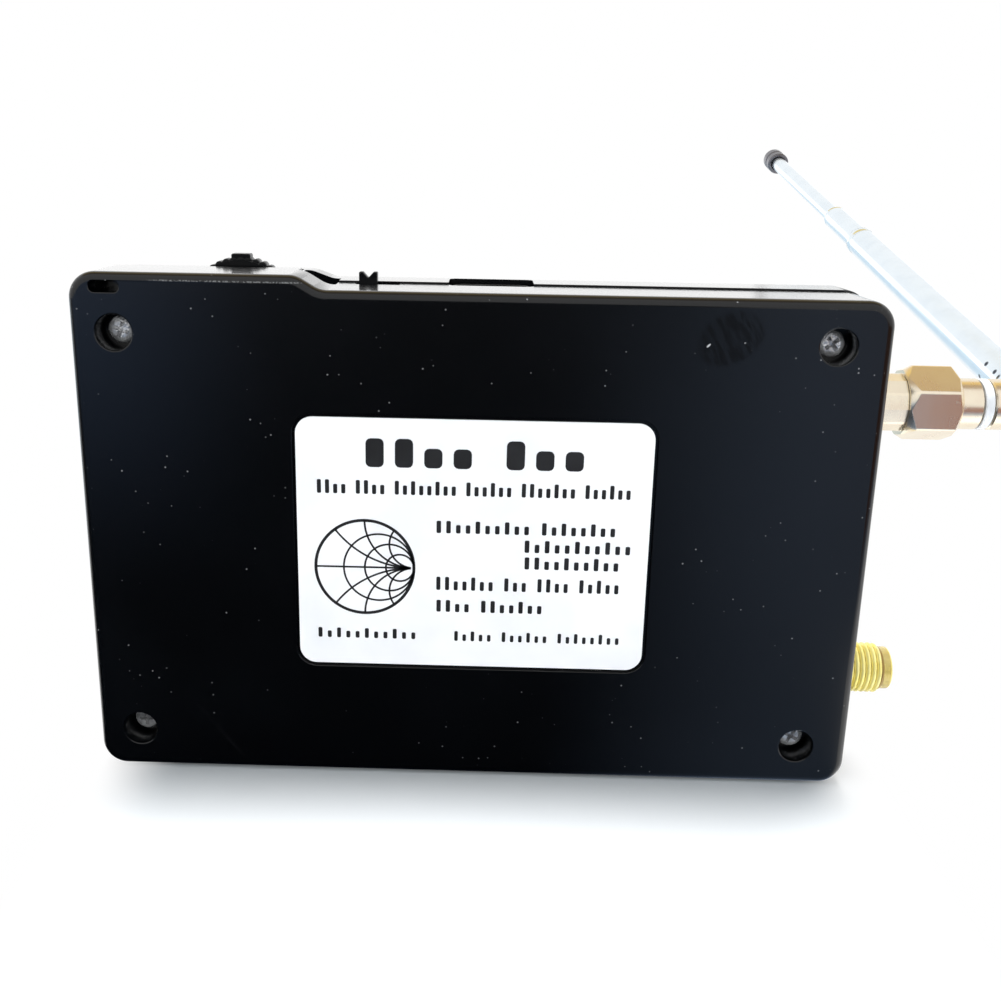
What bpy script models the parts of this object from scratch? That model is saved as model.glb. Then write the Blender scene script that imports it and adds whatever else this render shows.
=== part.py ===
"""Handheld vector network analyzer on its long edge, with a telescopic antenna on its upper port.

Metres, +Z up. The origin is the middle of the case's bottom face. The rear face looks along +Y, the
display along -Y and the two ports along -X. A depth is a distance from the rear face towards the display.
"""
import math

import bmesh
import bpy
from mathutils import Matrix, Vector

# Clearances and overruns
FIT = 0.0003
FINE_FIT = 0.00015
OVERRUN = 0.0010

# Case outline
CASE_WIDTH = 0.0916
CASE_HEIGHT = 0.0592
CASE_THICKNESS = 0.0160
CORNER_RADIUS = 0.0030
EDGE_RADIUS = 0.0010
SMALLEST_RADIUS = 0.0002
RAISED_STEP = 0.0016
STEP_FROM_SIDE = 0.0254
STEP_RUN = 0.0027
STEP_RADIUS = 0.0030
FRONT_STEP_DROP = 0.00045

# Case walls and the joint between the shells
WALL = 0.0018
FRONT_WALL = 0.0012
LIP_HEIGHT = 0.0008
SEAM_GAP = 0.0003
SEAM_TO_WHEEL = 0.0007

# Case screws and their posts
SCREW_INSET_PORT_SIDE = 0.0061
SCREW_INSET_WHEEL_SIDE = 0.0050
SCREW_INSET_LOW = 0.0051
SCREW_INSET_HIGH = 0.0051
SCREW_SUNK = 0.0025
SCREW_HEAD_RADIUS = 0.00145
SCREW_HEAD_HEIGHT = 0.0011
SCREW_SHANK_RADIUS = 0.00085
SCREW_LENGTH = 0.0090
SCREW_TIP = 0.0008
SCREW_CROSS_SPAN = 0.0016
SCREW_CROSS_WIDTH = 0.00036
SCREW_CROSS_DEPTH = 0.0006
SCREW_DOME_RADIUS = 0.0013
SCREW_POINT_RADIUS = 0.0003
MOUTH_RADIUS = 0.00205
REAR_POST_RADIUS = 0.0030
FRONT_POST_RADIUS = 0.0025
PILOT_DEPTH = 0.0035

# Lanyard slot in the corner beside the thumb wheel
LANYARD_FROM_SIDE = 0.0042
LANYARD_FROM_TOP = 0.0016
LANYARD_LENGTH = 0.0033
LANYARD_HEIGHT = 0.00125
LANYARD_BAR = 0.0022
LANYARD_REACH = 0.0042
LANYARD_WALL = 0.0009

# Rear label and its recess
LABEL_WIDTH = 0.0410
LABEL_HEIGHT = 0.0304
LABEL_RADIUS = 0.0020
LABEL_THICKNESS = 0.0002
LABEL_MARGIN = 0.00035
LABEL_RECESS = 0.00035
LABEL_SUNK = 0.00005
LABEL_CENTRE_X = 0.00025
LABEL_ABOVE_MIDDLE = 0.0002

# Main board
BOARD_THICKNESS = 0.0016
BOARD_FRONT_ROOM = 0.0052
BOARD_SIDE_GAP = 0.0004
BOARD_PORT_SETBACK = 0.0015
BOARD_FOOT_GAP = 0.0006
BOARD_TOP_GAP = 0.0006

# Display stack, from the window inwards
DISPLAY_SIDE_MARGIN = 0.0110
DISPLAY_FOOT_GAP = 0.0008
DISPLAY_TOP_ROOM = 0.0087
TOUCH_THICKNESS = 0.0007
PANEL_THICKNESS = 0.0008
BACKLIGHT_THICKNESS = 0.0012
WINDOW_SIDE_MARGIN = 0.0042
WINDOW_END_MARGIN = 0.0020
WINDOW_CHAMFER = 0.0007
WINDOW_RADIUS = 0.0008
FOAM_WIDTH = 0.0040
FOAM_FROM_SIDE = 0.0030
FOAM_FROM_END = 0.0060
RIBBON_THICKNESS = 0.0002
RIBBON_WIDTH = 0.0150
RIBBON_RUN = 0.0030
RIBBON_SOCKET_WIDTH = 0.0030
RIBBON_SOCKET_HEIGHT = 0.0010

# Battery and its leads
BATTERY_FROM_CANS = 0.0042
BATTERY_FROM_SIDE = 0.0175
BATTERY_HEIGHT = 0.0300
BATTERY_EDGE_RADIUS = 0.0012
BATTERY_PAD_THICKNESS = 0.0003
BATTERY_PAD_INSET = 0.0040
BATTERY_CHIP_ROOM = 0.0016
LEAD_RADIUS = 0.00045
LEAD_PITCH = 0.0020
LEAD_RUN = 0.0034
LEAD_FALL = 0.0030
LEAD_FROM_BATTERY_FOOT = 0.0060
BATTERY_SOCKET_WIDTH = 0.0040
BATTERY_SOCKET_LENGTH = 0.0052
BATTERY_SOCKET_HEIGHT = 0.0030

# Chips, cans and the crystal on the board's rear side
CHIP_THICKNESS = 0.0010
CHIP_CHAMFER = 0.00015
MIXER_SIZE = 0.0050
CLOCK_SIZE = 0.0030
PROCESSOR_SIZE = 0.0070
POWER_CHIP_WIDTH = 0.0050
POWER_CHIP_HEIGHT = 0.0040
CHIP_COLUMN_FROM_BATTERY = 0.0055
CHIP_ROW_PITCH = 0.0080
CAN_WIDTH = 0.0180
CAN_HEIGHT = 0.0110
CAN_DEPTH = 0.0024
CAN_WALL = 0.00025
CAN_FROM_SIDE = 0.0093
CLOCK_FROM_MIXER = 0.0070
CRYSTAL_LENGTH = 0.0050
CRYSTAL_WIDTH = 0.0030
CRYSTAL_HEIGHT = 0.0015
LAMP_WIDTH = 0.0016
LAMP_HEIGHT = 0.0008
LAMP_THICKNESS = 0.0007
LAMP_FROM_WHEEL = 0.0083

# Thumb wheel and its jog switch
JOG_FROM_STEP = 0.0083
JOG_BELOW_TOP = 0.00575
JOG_FROM_BOARD = 0.0006
WHEEL_TAB_RADIUS = 0.00715
WHEEL_TAB_WIDTH = 0.0023
WHEEL_TAB_EASE = 0.00015
WHEEL_CREST_RADIUS = 0.0068
WHEEL_ROOT_RADIUS = 0.00655
WHEEL_DISC_RADIUS = 0.00645
WHEEL_DISC_THICKNESS = 0.0006
WHEEL_KNURL_THICKNESS = 0.0018
WHEEL_HUB_RADIUS = 0.0016
WHEEL_TEETH = 23
WHEEL_TEETH_DEGREES = 186.0
AXLE_RADIUS = 0.0009
CARRIAGE_PLATE = 0.0007
CARRIAGE_HALF_WIDTH = 0.0026
CARRIAGE_ABOVE_AXLE = 0.0014
JOG_TRAVEL = 0.0003
JOG_BODY_HALF_WIDTH = 0.0056
JOG_BODY_WALL = 0.0006
JOG_BODY_FLOOR = 0.0005
JOG_BODY_HEIGHT = 0.0022
WHEEL_WINDOW_SIDE = 0.0005

# Slide switch
SWITCH_FROM_STEP = 0.00835
SWITCH_TRAVEL = 0.0022
KNOB_WIDTH = 0.00215
KNOB_THICKNESS = 0.0012
KNOB_PROUD = 0.0014
KNOB_NOTCH = 0.0007
KNOB_NOTCH_HALF_WIDTH = 0.0007
KNOB_ROOT = 0.0017
SWITCH_BODY_WIDTH = 0.0066
SWITCH_BODY_DEPTH = 0.0028
SWITCH_BODY_HEIGHT = 0.0038
SWITCH_FLOOR = 0.0016
SWITCH_BEFORE_BOARD_MIDDLE = 0.0002
SWITCH_SLOT_LENGTH = 0.0051
STEP_WINDOW_NEAR = 0.0068
STEP_WINDOW_FAR = 0.0120
STEP_WINDOW_BEFORE = 0.0007
STEP_WINDOW_AFTER = 0.0009

# USB socket
USB_FROM_SWITCH = 0.0133
USB_WIDTH = 0.0090
USB_THICKNESS = 0.0032
USB_LENGTH = 0.0073
USB_WALL = 0.0003
USB_BACK_WALL = 0.0012
USB_SUNK = 0.0003
USB_TONGUE_WIDTH = 0.0067
USB_TONGUE_THICKNESS = 0.0007
USB_TONGUE_SHORT = 0.0008
USB_WINDOW_WIDTH = 0.0101
USB_WINDOW_DEPTH = 0.0064
USB_WINDOW_RADIUS = 0.0009

# Threaded ports
PORT_FROM_FOOT = 0.0117
PORT_FROM_TOP = 0.0129
PORT_REACH = 0.0070
PORT_LIP = 0.0011
PORT_LIP_RADIUS = 0.00265
PORT_LIP_CHAMFER = 0.0001
PORT_CREST_RADIUS = 0.003125
PORT_ROOT_RADIUS = 0.0027
PORT_PITCH = 0.0007056
PORT_THREADS = 9
PORT_BORE_RADIUS = 0.0023
PORT_FLANGE = 0.0064
PORT_FLANGE_THICKNESS = 0.0016
PORT_PRONG_LENGTH = 0.0035
PORT_PRONG_WIDTH = 0.0012
PORT_PRONG_THICKNESS = 0.0008
PORT_PRONG_SPACING = 0.0044
PORT_WINDOW_RADIUS = 0.0035
PORT_FACE_SUNK = 0.0020
CONTACT_RADIUS = 0.0008
CONTACT_SOCKET_RADIUS = 0.0006
CONTACT_SOCKET_DEPTH = 0.0040
CONTACT_TAIL_RADIUS = 0.00045
CONTACT_TAIL_LENGTH = 0.0030

# Antenna plug; a reach is a distance out from the case's side face along the port's axis
NUT_NEAR_REACH = 0.0006
NUT_HEX_REACH = 0.0045
NUT_FAR_REACH = 0.01055
NUT_SKIRT_RADIUS = 0.0035
NUT_ACROSS_FLATS = 0.0080
NUT_NEAR_CHAMFER = 0.0010
NUT_FAR_CHAMFER = 0.0006
NUT_TURN_DEGREES = 27.0
NUT_LIP = 0.0006
NUT_LIP_RADIUS = 0.0028
PLUG_FLANGE_RADIUS = 0.0031
PLUG_NECK_RADIUS = 0.00265
PLUG_BARREL_RADIUS = 0.00305
PLUG_BARREL_LENGTH = 0.0026
PLUG_BORE_RADIUS = 0.0019
PLUG_BORE_LENGTH = 0.0040
PLUG_STUB_RADIUS = 0.0015
PLUG_STUB_LENGTH = 0.0022
PLUG_PIN_RADIUS = 0.00045
PLUG_PIN_REACH = 0.0040
RING_THICKNESS = 0.00105
FORK_SHOULDER = 0.0018
FORK_FLOOR_TO_PIVOT = 0.0029
FORK_STUB_ROOM = 0.0003
ELBOW_PIN_RADIUS = 0.0006
TONGUE_THICKNESS = 0.0020
TONGUE_EYE_RADIUS = 0.0025
TONGUE_HALF_WIDTH = 0.0019

# Telescopic rod; a place along it is measured from the elbow's pin
ROD_RISE_DEGREES = 12.5
OUTER_TUBE_RADIUS = 0.0024
OUTER_TUBE_WALL = 0.0002
OUTER_TUBE_START = 0.0035
OUTER_TUBE_PLUG = 0.0020
OUTER_TUBE_END = 0.0700
MIDDLE_TUBE_RADIUS = 0.00205
MIDDLE_TUBE_SHOWN = 0.0160
MIDDLE_TUBE_WALL = 0.00025
MIDDLE_TUBE_LENGTH = 0.0645
INNER_ROD_RADIUS = 0.0015
INNER_ROD_WALL = 0.00025
INNER_ROD_SHOWN = 0.0465
INNER_ROD_HIDDEN = 0.0100
TIP_RADIUS = 0.0023
TIP_LENGTH = 0.0060
TIP_SOCKET = 0.0038
TUBE_END_ROUND = 0.0003

# Faceting
CORNER_STEPS = 5
EDGE_STEPS = 3
ROUND_STEPS = 24
SMALL_ROUND_STEPS = 16
TEETH_SAMPLES = 4
HUB_STEPS = 8
EYE_STEPS = 18
DOME_STEPS = 5
CABLE_BENDS = 10
SHARP_EDGE_DEGREES = 35.0
QUARTER_TURN = math.tau / 4
HEX_SIDES = 6

# Places worked out from the sizes above
HALF_WIDTH = CASE_WIDTH / 2
STEP_TOP_X = HALF_WIDTH - STEP_FROM_SIDE
RAISED_TOP = CASE_HEIGHT + RAISED_STEP
LABEL_CENTRE_Z = CASE_HEIGHT / 2 + LABEL_ABOVE_MIDDLE
FRONT_INNER_DEPTH = CASE_THICKNESS - FRONT_WALL
BOARD_FRONT_DEPTH = FRONT_INNER_DEPTH - BOARD_FRONT_ROOM
BOARD_REAR_DEPTH = BOARD_FRONT_DEPTH - BOARD_THICKNESS
BOARD_MIDDLE_DEPTH = (BOARD_FRONT_DEPTH + BOARD_REAR_DEPTH) / 2
BOARD_LEFT = -HALF_WIDTH + WALL + BOARD_PORT_SETBACK
BOARD_RIGHT = HALF_WIDTH - WALL - BOARD_SIDE_GAP
BOARD_FOOT = WALL + BOARD_FOOT_GAP
BOARD_TOP = CASE_HEIGHT - WALL - BOARD_TOP_GAP
WHEEL_NEAR_DEPTH = BOARD_FRONT_DEPTH + JOG_FROM_BOARD
WHEEL_DISC_END = WHEEL_NEAR_DEPTH + WHEEL_DISC_THICKNESS
WHEEL_FAR_DEPTH = WHEEL_DISC_END + WHEEL_KNURL_THICKNESS
SEAM_DEPTH = WHEEL_NEAR_DEPTH - SEAM_TO_WHEEL
JOG_X = STEP_TOP_X + JOG_FROM_STEP
JOG_Z = RAISED_TOP - JOG_BELOW_TOP
SWITCH_X = STEP_TOP_X - SWITCH_FROM_STEP
SWITCH_DEPTH = BOARD_MIDDLE_DEPTH - SWITCH_BEFORE_BOARD_MIDDLE
USB_X = SWITCH_X - USB_FROM_SWITCH
USB_DEPTH = BOARD_FRONT_DEPTH + FIT + USB_THICKNESS / 2
DISPLAY_LEFT = -HALF_WIDTH + DISPLAY_SIDE_MARGIN
DISPLAY_RIGHT = HALF_WIDTH - DISPLAY_SIDE_MARGIN
DISPLAY_FOOT = WALL + DISPLAY_FOOT_GAP
DISPLAY_TOP = CASE_HEIGHT - DISPLAY_TOP_ROOM
CHIP_TOP_DEPTH = BOARD_REAR_DEPTH - FIT
BATTERY_LEFT = -HALF_WIDTH + CAN_FROM_SIDE + CAN_WIDTH + BATTERY_FROM_CANS
BATTERY_RIGHT = HALF_WIDTH - BATTERY_FROM_SIDE
CHIP_COLUMN_X = BATTERY_RIGHT + CHIP_COLUMN_FROM_BATTERY
CHIP_COLUMN_Z = CASE_HEIGHT / 2
PORT_HEIGHTS = (CASE_HEIGHT - PORT_FROM_TOP, PORT_FROM_FOOT)
SCREW_COLUMNS = (-HALF_WIDTH + SCREW_INSET_PORT_SIDE, HALF_WIDTH - SCREW_INSET_WHEEL_SIDE)
SCREW_ROWS = (SCREW_INSET_LOW, CASE_HEIGHT - SCREW_INSET_HIGH)
SCREW_PLACES = [(x, z) for z in SCREW_ROWS for x in SCREW_COLUMNS]
PLUG_NEAR_REACH = PORT_REACH + FINE_FIT
NUT_LIP_REACH = NUT_FAR_REACH - NUT_LIP
PLUG_BARREL_REACH = NUT_FAR_REACH + FIT
PLUG_BARREL_END = PLUG_BARREL_REACH + PLUG_BARREL_LENGTH
PLUG_STUB_END = PLUG_BARREL_END + PLUG_STUB_LENGTH
RING_REACH = PLUG_BARREL_END + FINE_FIT
FORK_REACH = RING_REACH + RING_THICKNESS + FINE_FIT
FORK_BORE_END = PLUG_STUB_END + FORK_STUB_ROOM
PIVOT_REACH = FORK_BORE_END + FORK_SHOULDER + FORK_FLOOR_TO_PIVOT
MIDDLE_TUBE_END = OUTER_TUBE_END + MIDDLE_TUBE_SHOWN
MIDDLE_TUBE_START = MIDDLE_TUBE_END - MIDDLE_TUBE_LENGTH
TIP_START = MIDDLE_TUBE_END + INNER_ROD_SHOWN
INNER_ROD_START = MIDDLE_TUBE_END - INNER_ROD_HIDDEN


def at_depth(depth):
    """The Y of a plane that lies this deep behind the rear face."""
    return CASE_THICKNESS / 2 - depth


# Mesh builders

def finished_object(name, mesh, location=(0, 0, 0), rotation=(0, 0, 0), parent=None):
    """Turn a closed bmesh into an object with outward faces and smooth round sides."""
    bmesh.ops.recalc_face_normals(mesh, faces=mesh.faces)
    data = bpy.data.meshes.new(name)
    mesh.to_mesh(data)
    mesh.free()
    data.shade_smooth()
    data.set_sharp_from_angle(angle=math.radians(SHARP_EDGE_DEGREES))
    item = bpy.data.objects.new(name, data)
    bpy.context.collection.objects.link(item)
    item.location = location
    item.rotation_euler = rotation
    item.parent = parent
    return item


def loft(name, rings, **place):
    """A solid through rings of equal count, with a flat cap on the first and the last."""
    mesh = bmesh.new()
    loops = [[mesh.verts.new(point) for point in ring] for ring in rings]
    for near, far in zip(loops, loops[1:]):
        for index, start in enumerate(near):
            after = (index + 1) % len(near)
            mesh.faces.new((start, near[after], far[after], far[index]))
    mesh.faces.new(loops[0][::-1])
    mesh.faces.new(loops[-1])
    return finished_object(name, mesh, **place)


def prism(name, outline, start, end, axis="Y", **place):
    """A flat outline carried from start to end along one axis."""
    def point(a, b, along):
        return {"X": (along, a, b), "Y": (a, along, b), "Z": (a, b, along)}[axis]
    rings = [[point(a, b, along) for a, b in outline] for along in (start, end)]
    return loft(name, rings, **place)


def block(name, low, high, **place):
    """A box between two corners, with its origin at its middle."""
    low, high = Vector(low), Vector(high)
    mesh = bmesh.new()
    bmesh.ops.create_cube(mesh, size=1.0)
    bmesh.ops.scale(mesh, vec=high - low, verts=mesh.verts)
    return finished_object(name, mesh, location=(low + high) / 2, **place)


def board_block(name, x, z, width, height, near_depth, far_depth):
    """A box centred on x and z between two depths, as parts on the board are."""
    low = (x - width / 2, at_depth(far_depth), z - height / 2)
    high = (x + width / 2, at_depth(near_depth), z + height / 2)
    return block(name, low, high)


def turned(name, profile, steps=ROUND_STEPS, first_angle=0, **place):
    """A solid turned about local Z from (height, radius) points; one off the axis is closed on itself."""
    mesh = bmesh.new()
    loops = []
    for height, radius in profile:
        if radius == 0:
            loops.append([mesh.verts.new((0, 0, height))] * steps)
            continue
        angles = [first_angle + math.tau * step / steps for step in range(steps)]
        loops.append([mesh.verts.new((radius * math.cos(a), radius * math.sin(a), height)) for a in angles])
    pairs = list(zip(loops, loops[1:]))
    if profile[0][1] > 0:
        pairs.append((loops[-1], loops[0]))
    for near, far in pairs:
        for step in range(steps):
            after = (step + 1) % steps
            corners = (near[step], near[after], far[after], far[step])
            mesh.faces.new(list(dict.fromkeys(corners)))
    return finished_object(name, mesh, **place)


def disc_outline(x, z, radius, steps=SMALL_ROUND_STEPS):
    """Points round a circle."""
    angles = [math.tau * step / steps for step in range(steps)]
    return [(x + radius * math.cos(a), z + radius * math.sin(a)) for a in angles]


def rounded_outline(corners, inset=0, steps=CORNER_STEPS):
    """Points round a filleted outline moved inwards by inset; corners are (x, z, radius), anticlockwise."""
    edges = []
    for index, corner in enumerate(corners):
        start = Vector(corner[:2])
        along = (Vector(corners[(index + 1) % len(corners)][:2]) - start).normalized()
        edges.append((start + inset * Vector((-along.y, along.x)), along))
    points = []
    for index, (x, z, radius) in enumerate(corners):
        (before, arriving), (after, leaving) = edges[index - 1], edges[index]
        turn = math.atan2(arriving.cross(leaving), arriving.dot(leaving))
        side = math.copysign(1, turn)
        bend = max(radius - side * inset, SMALLEST_RADIUS)
        corner = before + arriving * ((after - before).cross(leaving) / arriving.cross(leaving))
        start = corner - arriving * bend * math.tan(abs(turn) / 2)
        centre = start + side * bend * Vector((-arriving.y, arriving.x))
        for step in range(steps + 1):
            spoke = (start - centre)
            spoke.rotate(Matrix.Rotation(turn * step / steps, 2))
            points.append(tuple(centre + spoke))
    return points


def rounded_rectangle(x, z, width, height, radius, steps=CORNER_STEPS):
    """Points round a rectangle with filleted corners."""
    left, right, foot, top = x - width / 2, x + width / 2, z - height / 2, z + height / 2
    corners = [(left, foot, radius), (right, foot, radius), (right, top, radius), (left, top, radius)]
    return rounded_outline(corners, steps=steps)


def case_outline(step, inset):
    """The case's outline, with its upper edge raised by step on the thumb wheel's side."""
    corners = [(-HALF_WIDTH, 0, CORNER_RADIUS),
               (HALF_WIDTH, 0, CORNER_RADIUS),
               (HALF_WIDTH, CASE_HEIGHT + step, CORNER_RADIUS),
               (STEP_TOP_X, CASE_HEIGHT + step, STEP_RADIUS),
               (STEP_TOP_X - STEP_RUN, CASE_HEIGHT, STEP_RADIUS),
               (-HALF_WIDTH, CASE_HEIGHT, CORNER_RADIUS)]
    return rounded_outline(corners, inset)


def shell(name, step, section):
    """A tray whose wall section, as (inset, depth) points from outer face to floor, follows the case."""
    rings = []
    for inset, depth in section:
        rings.append([(x, at_depth(depth), z) for x, z in case_outline(step, inset)])
    return loft(name, rings)


def outline_tools(name, outlines, start, end, axis="Y"):
    """One tool object made of several separate prisms."""
    tool = prism(name, outlines[0], start, end, axis)
    for number, outline in enumerate(outlines[1:], start=1):
        other = prism(f"{name}_{number}", outline, start, end, axis)
        merge = bmesh.new()
        merge.from_mesh(tool.data)
        merge.from_mesh(other.data)
        merge.to_mesh(tool.data)
        merge.free()
        bpy.data.objects.remove(other)
    return tool


def work(target, operation, *tools):
    """Cut, join or intersect the target with tools, which stay as hidden guides."""
    for tool in tools:
        tool.hide_render = True
        tool.display_type = "WIRE"
        modifier = target.modifiers.new(f"{operation.lower()} {tool.name}", "BOOLEAN")
        modifier.operation = operation
        modifier.solver = "EXACT"
        modifier.object = tool


def paint(item, colour, roughness, metallic=0.0):
    """Give an object its own material."""
    material = bpy.data.materials.new(f"{item.name} finish")
    material.use_nodes = True
    shader = material.node_tree.nodes["Principled BSDF"]
    shader.inputs["Base Color"].default_value = (*colour, 1.0)
    shader.inputs["Roughness"].default_value = roughness
    shader.inputs["Metallic"].default_value = metallic
    item.data.materials.append(material)
    return item


def black_plastic(item):
    return paint(item, (0.012, 0.013, 0.015), 0.35)


def gold_plate(item):
    return paint(item, (0.86, 0.62, 0.22), 0.22, 1.0)


def bright_nickel(item):
    return paint(item, (0.72, 0.71, 0.69), 0.18, 1.0)


def white_insulator(item):
    return paint(item, (0.86, 0.86, 0.84), 0.45)


def chip_plastic(item):
    return paint(item, (0.02, 0.02, 0.022), 0.5)


# Case

def edge_section(start_depth, inward):
    """The quarter round between a flat face and the side, as (inset, depth) points from the face outwards."""
    points = []
    for step in range(EDGE_STEPS + 1):
        angle = QUARTER_TURN * step / EDGE_STEPS
        inset = EDGE_RADIUS * (1 - math.sin(angle))
        depth = start_depth + inward * EDGE_RADIUS * (1 - math.cos(angle))
        points.append((inset, depth))
    return points


def seam_tools(name, side):
    """The openings that both shells share: ports, USB plug, slide switch and the window at the step."""
    beyond = OVERRUN + HALF_WIDTH
    y = at_depth(BOARD_MIDDLE_DEPTH)
    ports = [disc_outline(y, z, PORT_WINDOW_RADIUS, ROUND_STEPS) for z in PORT_HEIGHTS]
    port_tool = outline_tools(f"{name}_port_windows", ports, -beyond, -HALF_WIDTH + WALL + OVERRUN, "X")
    usb = rounded_rectangle(USB_X, at_depth(USB_DEPTH), USB_WINDOW_WIDTH, USB_WINDOW_DEPTH, USB_WINDOW_RADIUS)
    usb_tool = prism(f"{name}_usb_window", usb, BOARD_TOP + FIT / 2, CASE_HEIGHT + OVERRUN, "Z")
    floor = CASE_HEIGHT - WALL - FIT
    left = STEP_TOP_X - STEP_RUN - STEP_WINDOW_AFTER
    right = STEP_TOP_X + STEP_WINDOW_BEFORE
    step_tool = block(f"{name}_step_window", (left, at_depth(STEP_WINDOW_FAR), floor),
                      (right, at_depth(STEP_WINDOW_NEAR), RAISED_TOP + OVERRUN))
    half_slot = SWITCH_SLOT_LENGTH / 2
    half_depth = KNOB_THICKNESS / 2 + FIT
    near = SWITCH_DEPTH - half_depth
    far = SWITCH_DEPTH + half_depth
    slot_tool = block(f"{name}_switch_slot", (SWITCH_X - half_slot, at_depth(far), floor),
                      (SWITCH_X + half_slot, at_depth(near), CASE_HEIGHT + OVERRUN))
    work(side, "DIFFERENCE", port_tool, usb_tool, step_tool, slot_tool)


def rear_shell():
    rebate = LIP_HEIGHT - SEAM_GAP + FIT
    section = edge_section(0, 1)
    section += [(0, SEAM_DEPTH), (WALL / 2, SEAM_DEPTH), (WALL / 2, SEAM_DEPTH - rebate)]
    section += [(WALL, SEAM_DEPTH - rebate), (WALL, WALL)]
    tray = shell("rear_shell", RAISED_STEP, section)
    posts = [disc_outline(x, z, REAR_POST_RADIUS) for x, z in SCREW_PLACES]
    post_tool = outline_tools("rear_posts", posts, at_depth(WALL / 2), at_depth(BOARD_REAR_DEPTH - FIT))
    slot_x = HALF_WIDTH - LANYARD_FROM_SIDE
    slot_z = RAISED_TOP - LANYARD_FROM_TOP
    half = LANYARD_LENGTH / 2
    lug_low = (slot_x - half - LANYARD_WALL, at_depth(LANYARD_REACH + LANYARD_WALL),
               slot_z - LANYARD_HEIGHT / 2 - LANYARD_WALL)
    lug = block("lanyard_lug", lug_low, (HALF_WIDTH - WALL / 2, at_depth(WALL / 2), RAISED_TOP - WALL / 2))
    work(tray, "UNION", post_tool, lug)
    head_end = SCREW_SUNK + SCREW_HEAD_HEIGHT + FINE_FIT
    mouths = [disc_outline(x, z, MOUTH_RADIUS, ROUND_STEPS) for x, z in SCREW_PLACES]
    mouth_tool = outline_tools("screw_mouths", mouths, at_depth(-OVERRUN), at_depth(head_end))
    shanks = [disc_outline(x, z, SCREW_SHANK_RADIUS + FIT) for x, z in SCREW_PLACES]
    shank_tool = outline_tools("rear_shank_holes", shanks, at_depth(SCREW_SUNK), at_depth(BOARD_REAR_DEPTH))
    recess = rounded_rectangle(LABEL_CENTRE_X, LABEL_CENTRE_Z, LABEL_WIDTH + 2 * LABEL_MARGIN,
                               LABEL_HEIGHT + 2 * LABEL_MARGIN, LABEL_RADIUS + LABEL_MARGIN)
    recess_tool = prism("label_recess", recess, at_depth(-OVERRUN), at_depth(LABEL_RECESS))
    slot = rounded_rectangle(slot_x, slot_z, LANYARD_LENGTH, LANYARD_HEIGHT, LANYARD_HEIGHT / 2 - FINE_FIT)
    slot_tool = prism("lanyard_slot", slot, at_depth(-OVERRUN), at_depth(LANYARD_REACH))
    half_height = LANYARD_HEIGHT / 2 - FINE_FIT
    side_tool = block("lanyard_exit", (slot_x, at_depth(LANYARD_REACH), slot_z - half_height),
                      (HALF_WIDTH + OVERRUN, at_depth(LANYARD_BAR), slot_z + half_height))
    work(tray, "DIFFERENCE", mouth_tool, shank_tool, recess_tool, slot_tool, side_tool)
    seam_tools("rear", tray)
    return black_plastic(tray)


def front_shell():
    start = SEAM_DEPTH + SEAM_GAP
    section = edge_section(CASE_THICKNESS, -1)
    section += [(0, start), (WALL / 2 + FINE_FIT, start), (WALL / 2 + FINE_FIT, start - LIP_HEIGHT)]
    section += [(WALL, start - LIP_HEIGHT), (WALL, FRONT_INNER_DEPTH)]
    cover = shell("front_shell", RAISED_STEP - FRONT_STEP_DROP, section)
    posts = [disc_outline(x, z, FRONT_POST_RADIUS) for x, z in SCREW_PLACES]
    post_tool = outline_tools("front_posts", posts, at_depth(FRONT_INNER_DEPTH + FRONT_WALL / 2),
                              at_depth(BOARD_FRONT_DEPTH + FIT))
    work(cover, "UNION", post_tool)
    pilots = [disc_outline(x, z, SCREW_SHANK_RADIUS + FINE_FIT) for x, z in SCREW_PLACES]
    pilot_tool = outline_tools("pilot_holes", pilots, at_depth(BOARD_FRONT_DEPTH),
                               at_depth(BOARD_FRONT_DEPTH + FIT + PILOT_DEPTH))
    middle = (DISPLAY_LEFT + DISPLAY_RIGHT) / 2
    height = (DISPLAY_FOOT + DISPLAY_TOP) / 2
    window_width = DISPLAY_RIGHT - DISPLAY_LEFT - 2 * WINDOW_SIDE_MARGIN
    window_height = DISPLAY_TOP - DISPLAY_FOOT - 2 * WINDOW_END_MARGIN
    rings = []
    for grow, depth in ((WINDOW_CHAMFER, CASE_THICKNESS + WINDOW_CHAMFER / 2),
                        (0, CASE_THICKNESS - WINDOW_CHAMFER / 2),
                        (0, FRONT_INNER_DEPTH - FIT)):
        outline = rounded_rectangle(middle, height, window_width + 2 * grow, window_height + 2 * grow,
                                    WINDOW_RADIUS + grow)
        rings.append([(x, at_depth(depth), z) for x, z in outline])
    window_tool = loft("display_window", rings)
    half_wheel = WHEEL_CREST_RADIUS + WHEEL_WINDOW_SIDE
    wheel_tool = block("wheel_window",
                       (JOG_X - half_wheel, at_depth(WHEEL_FAR_DEPTH + FIT), JOG_Z),
                       (JOG_X + half_wheel, at_depth(SEAM_DEPTH - LIP_HEIGHT), RAISED_TOP + OVERRUN))
    work(cover, "DIFFERENCE", pilot_tool, window_tool, wheel_tool)
    seam_tools("front", cover)
    return black_plastic(cover)


def rear_label():
    outline = rounded_rectangle(LABEL_CENTRE_X, LABEL_CENTRE_Z, LABEL_WIDTH, LABEL_HEIGHT, LABEL_RADIUS)
    label = prism("rear_label", outline, at_depth(LABEL_SUNK + LABEL_THICKNESS), at_depth(LABEL_SUNK))
    return paint(label, (0.80, 0.80, 0.81), 0.55)


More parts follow.
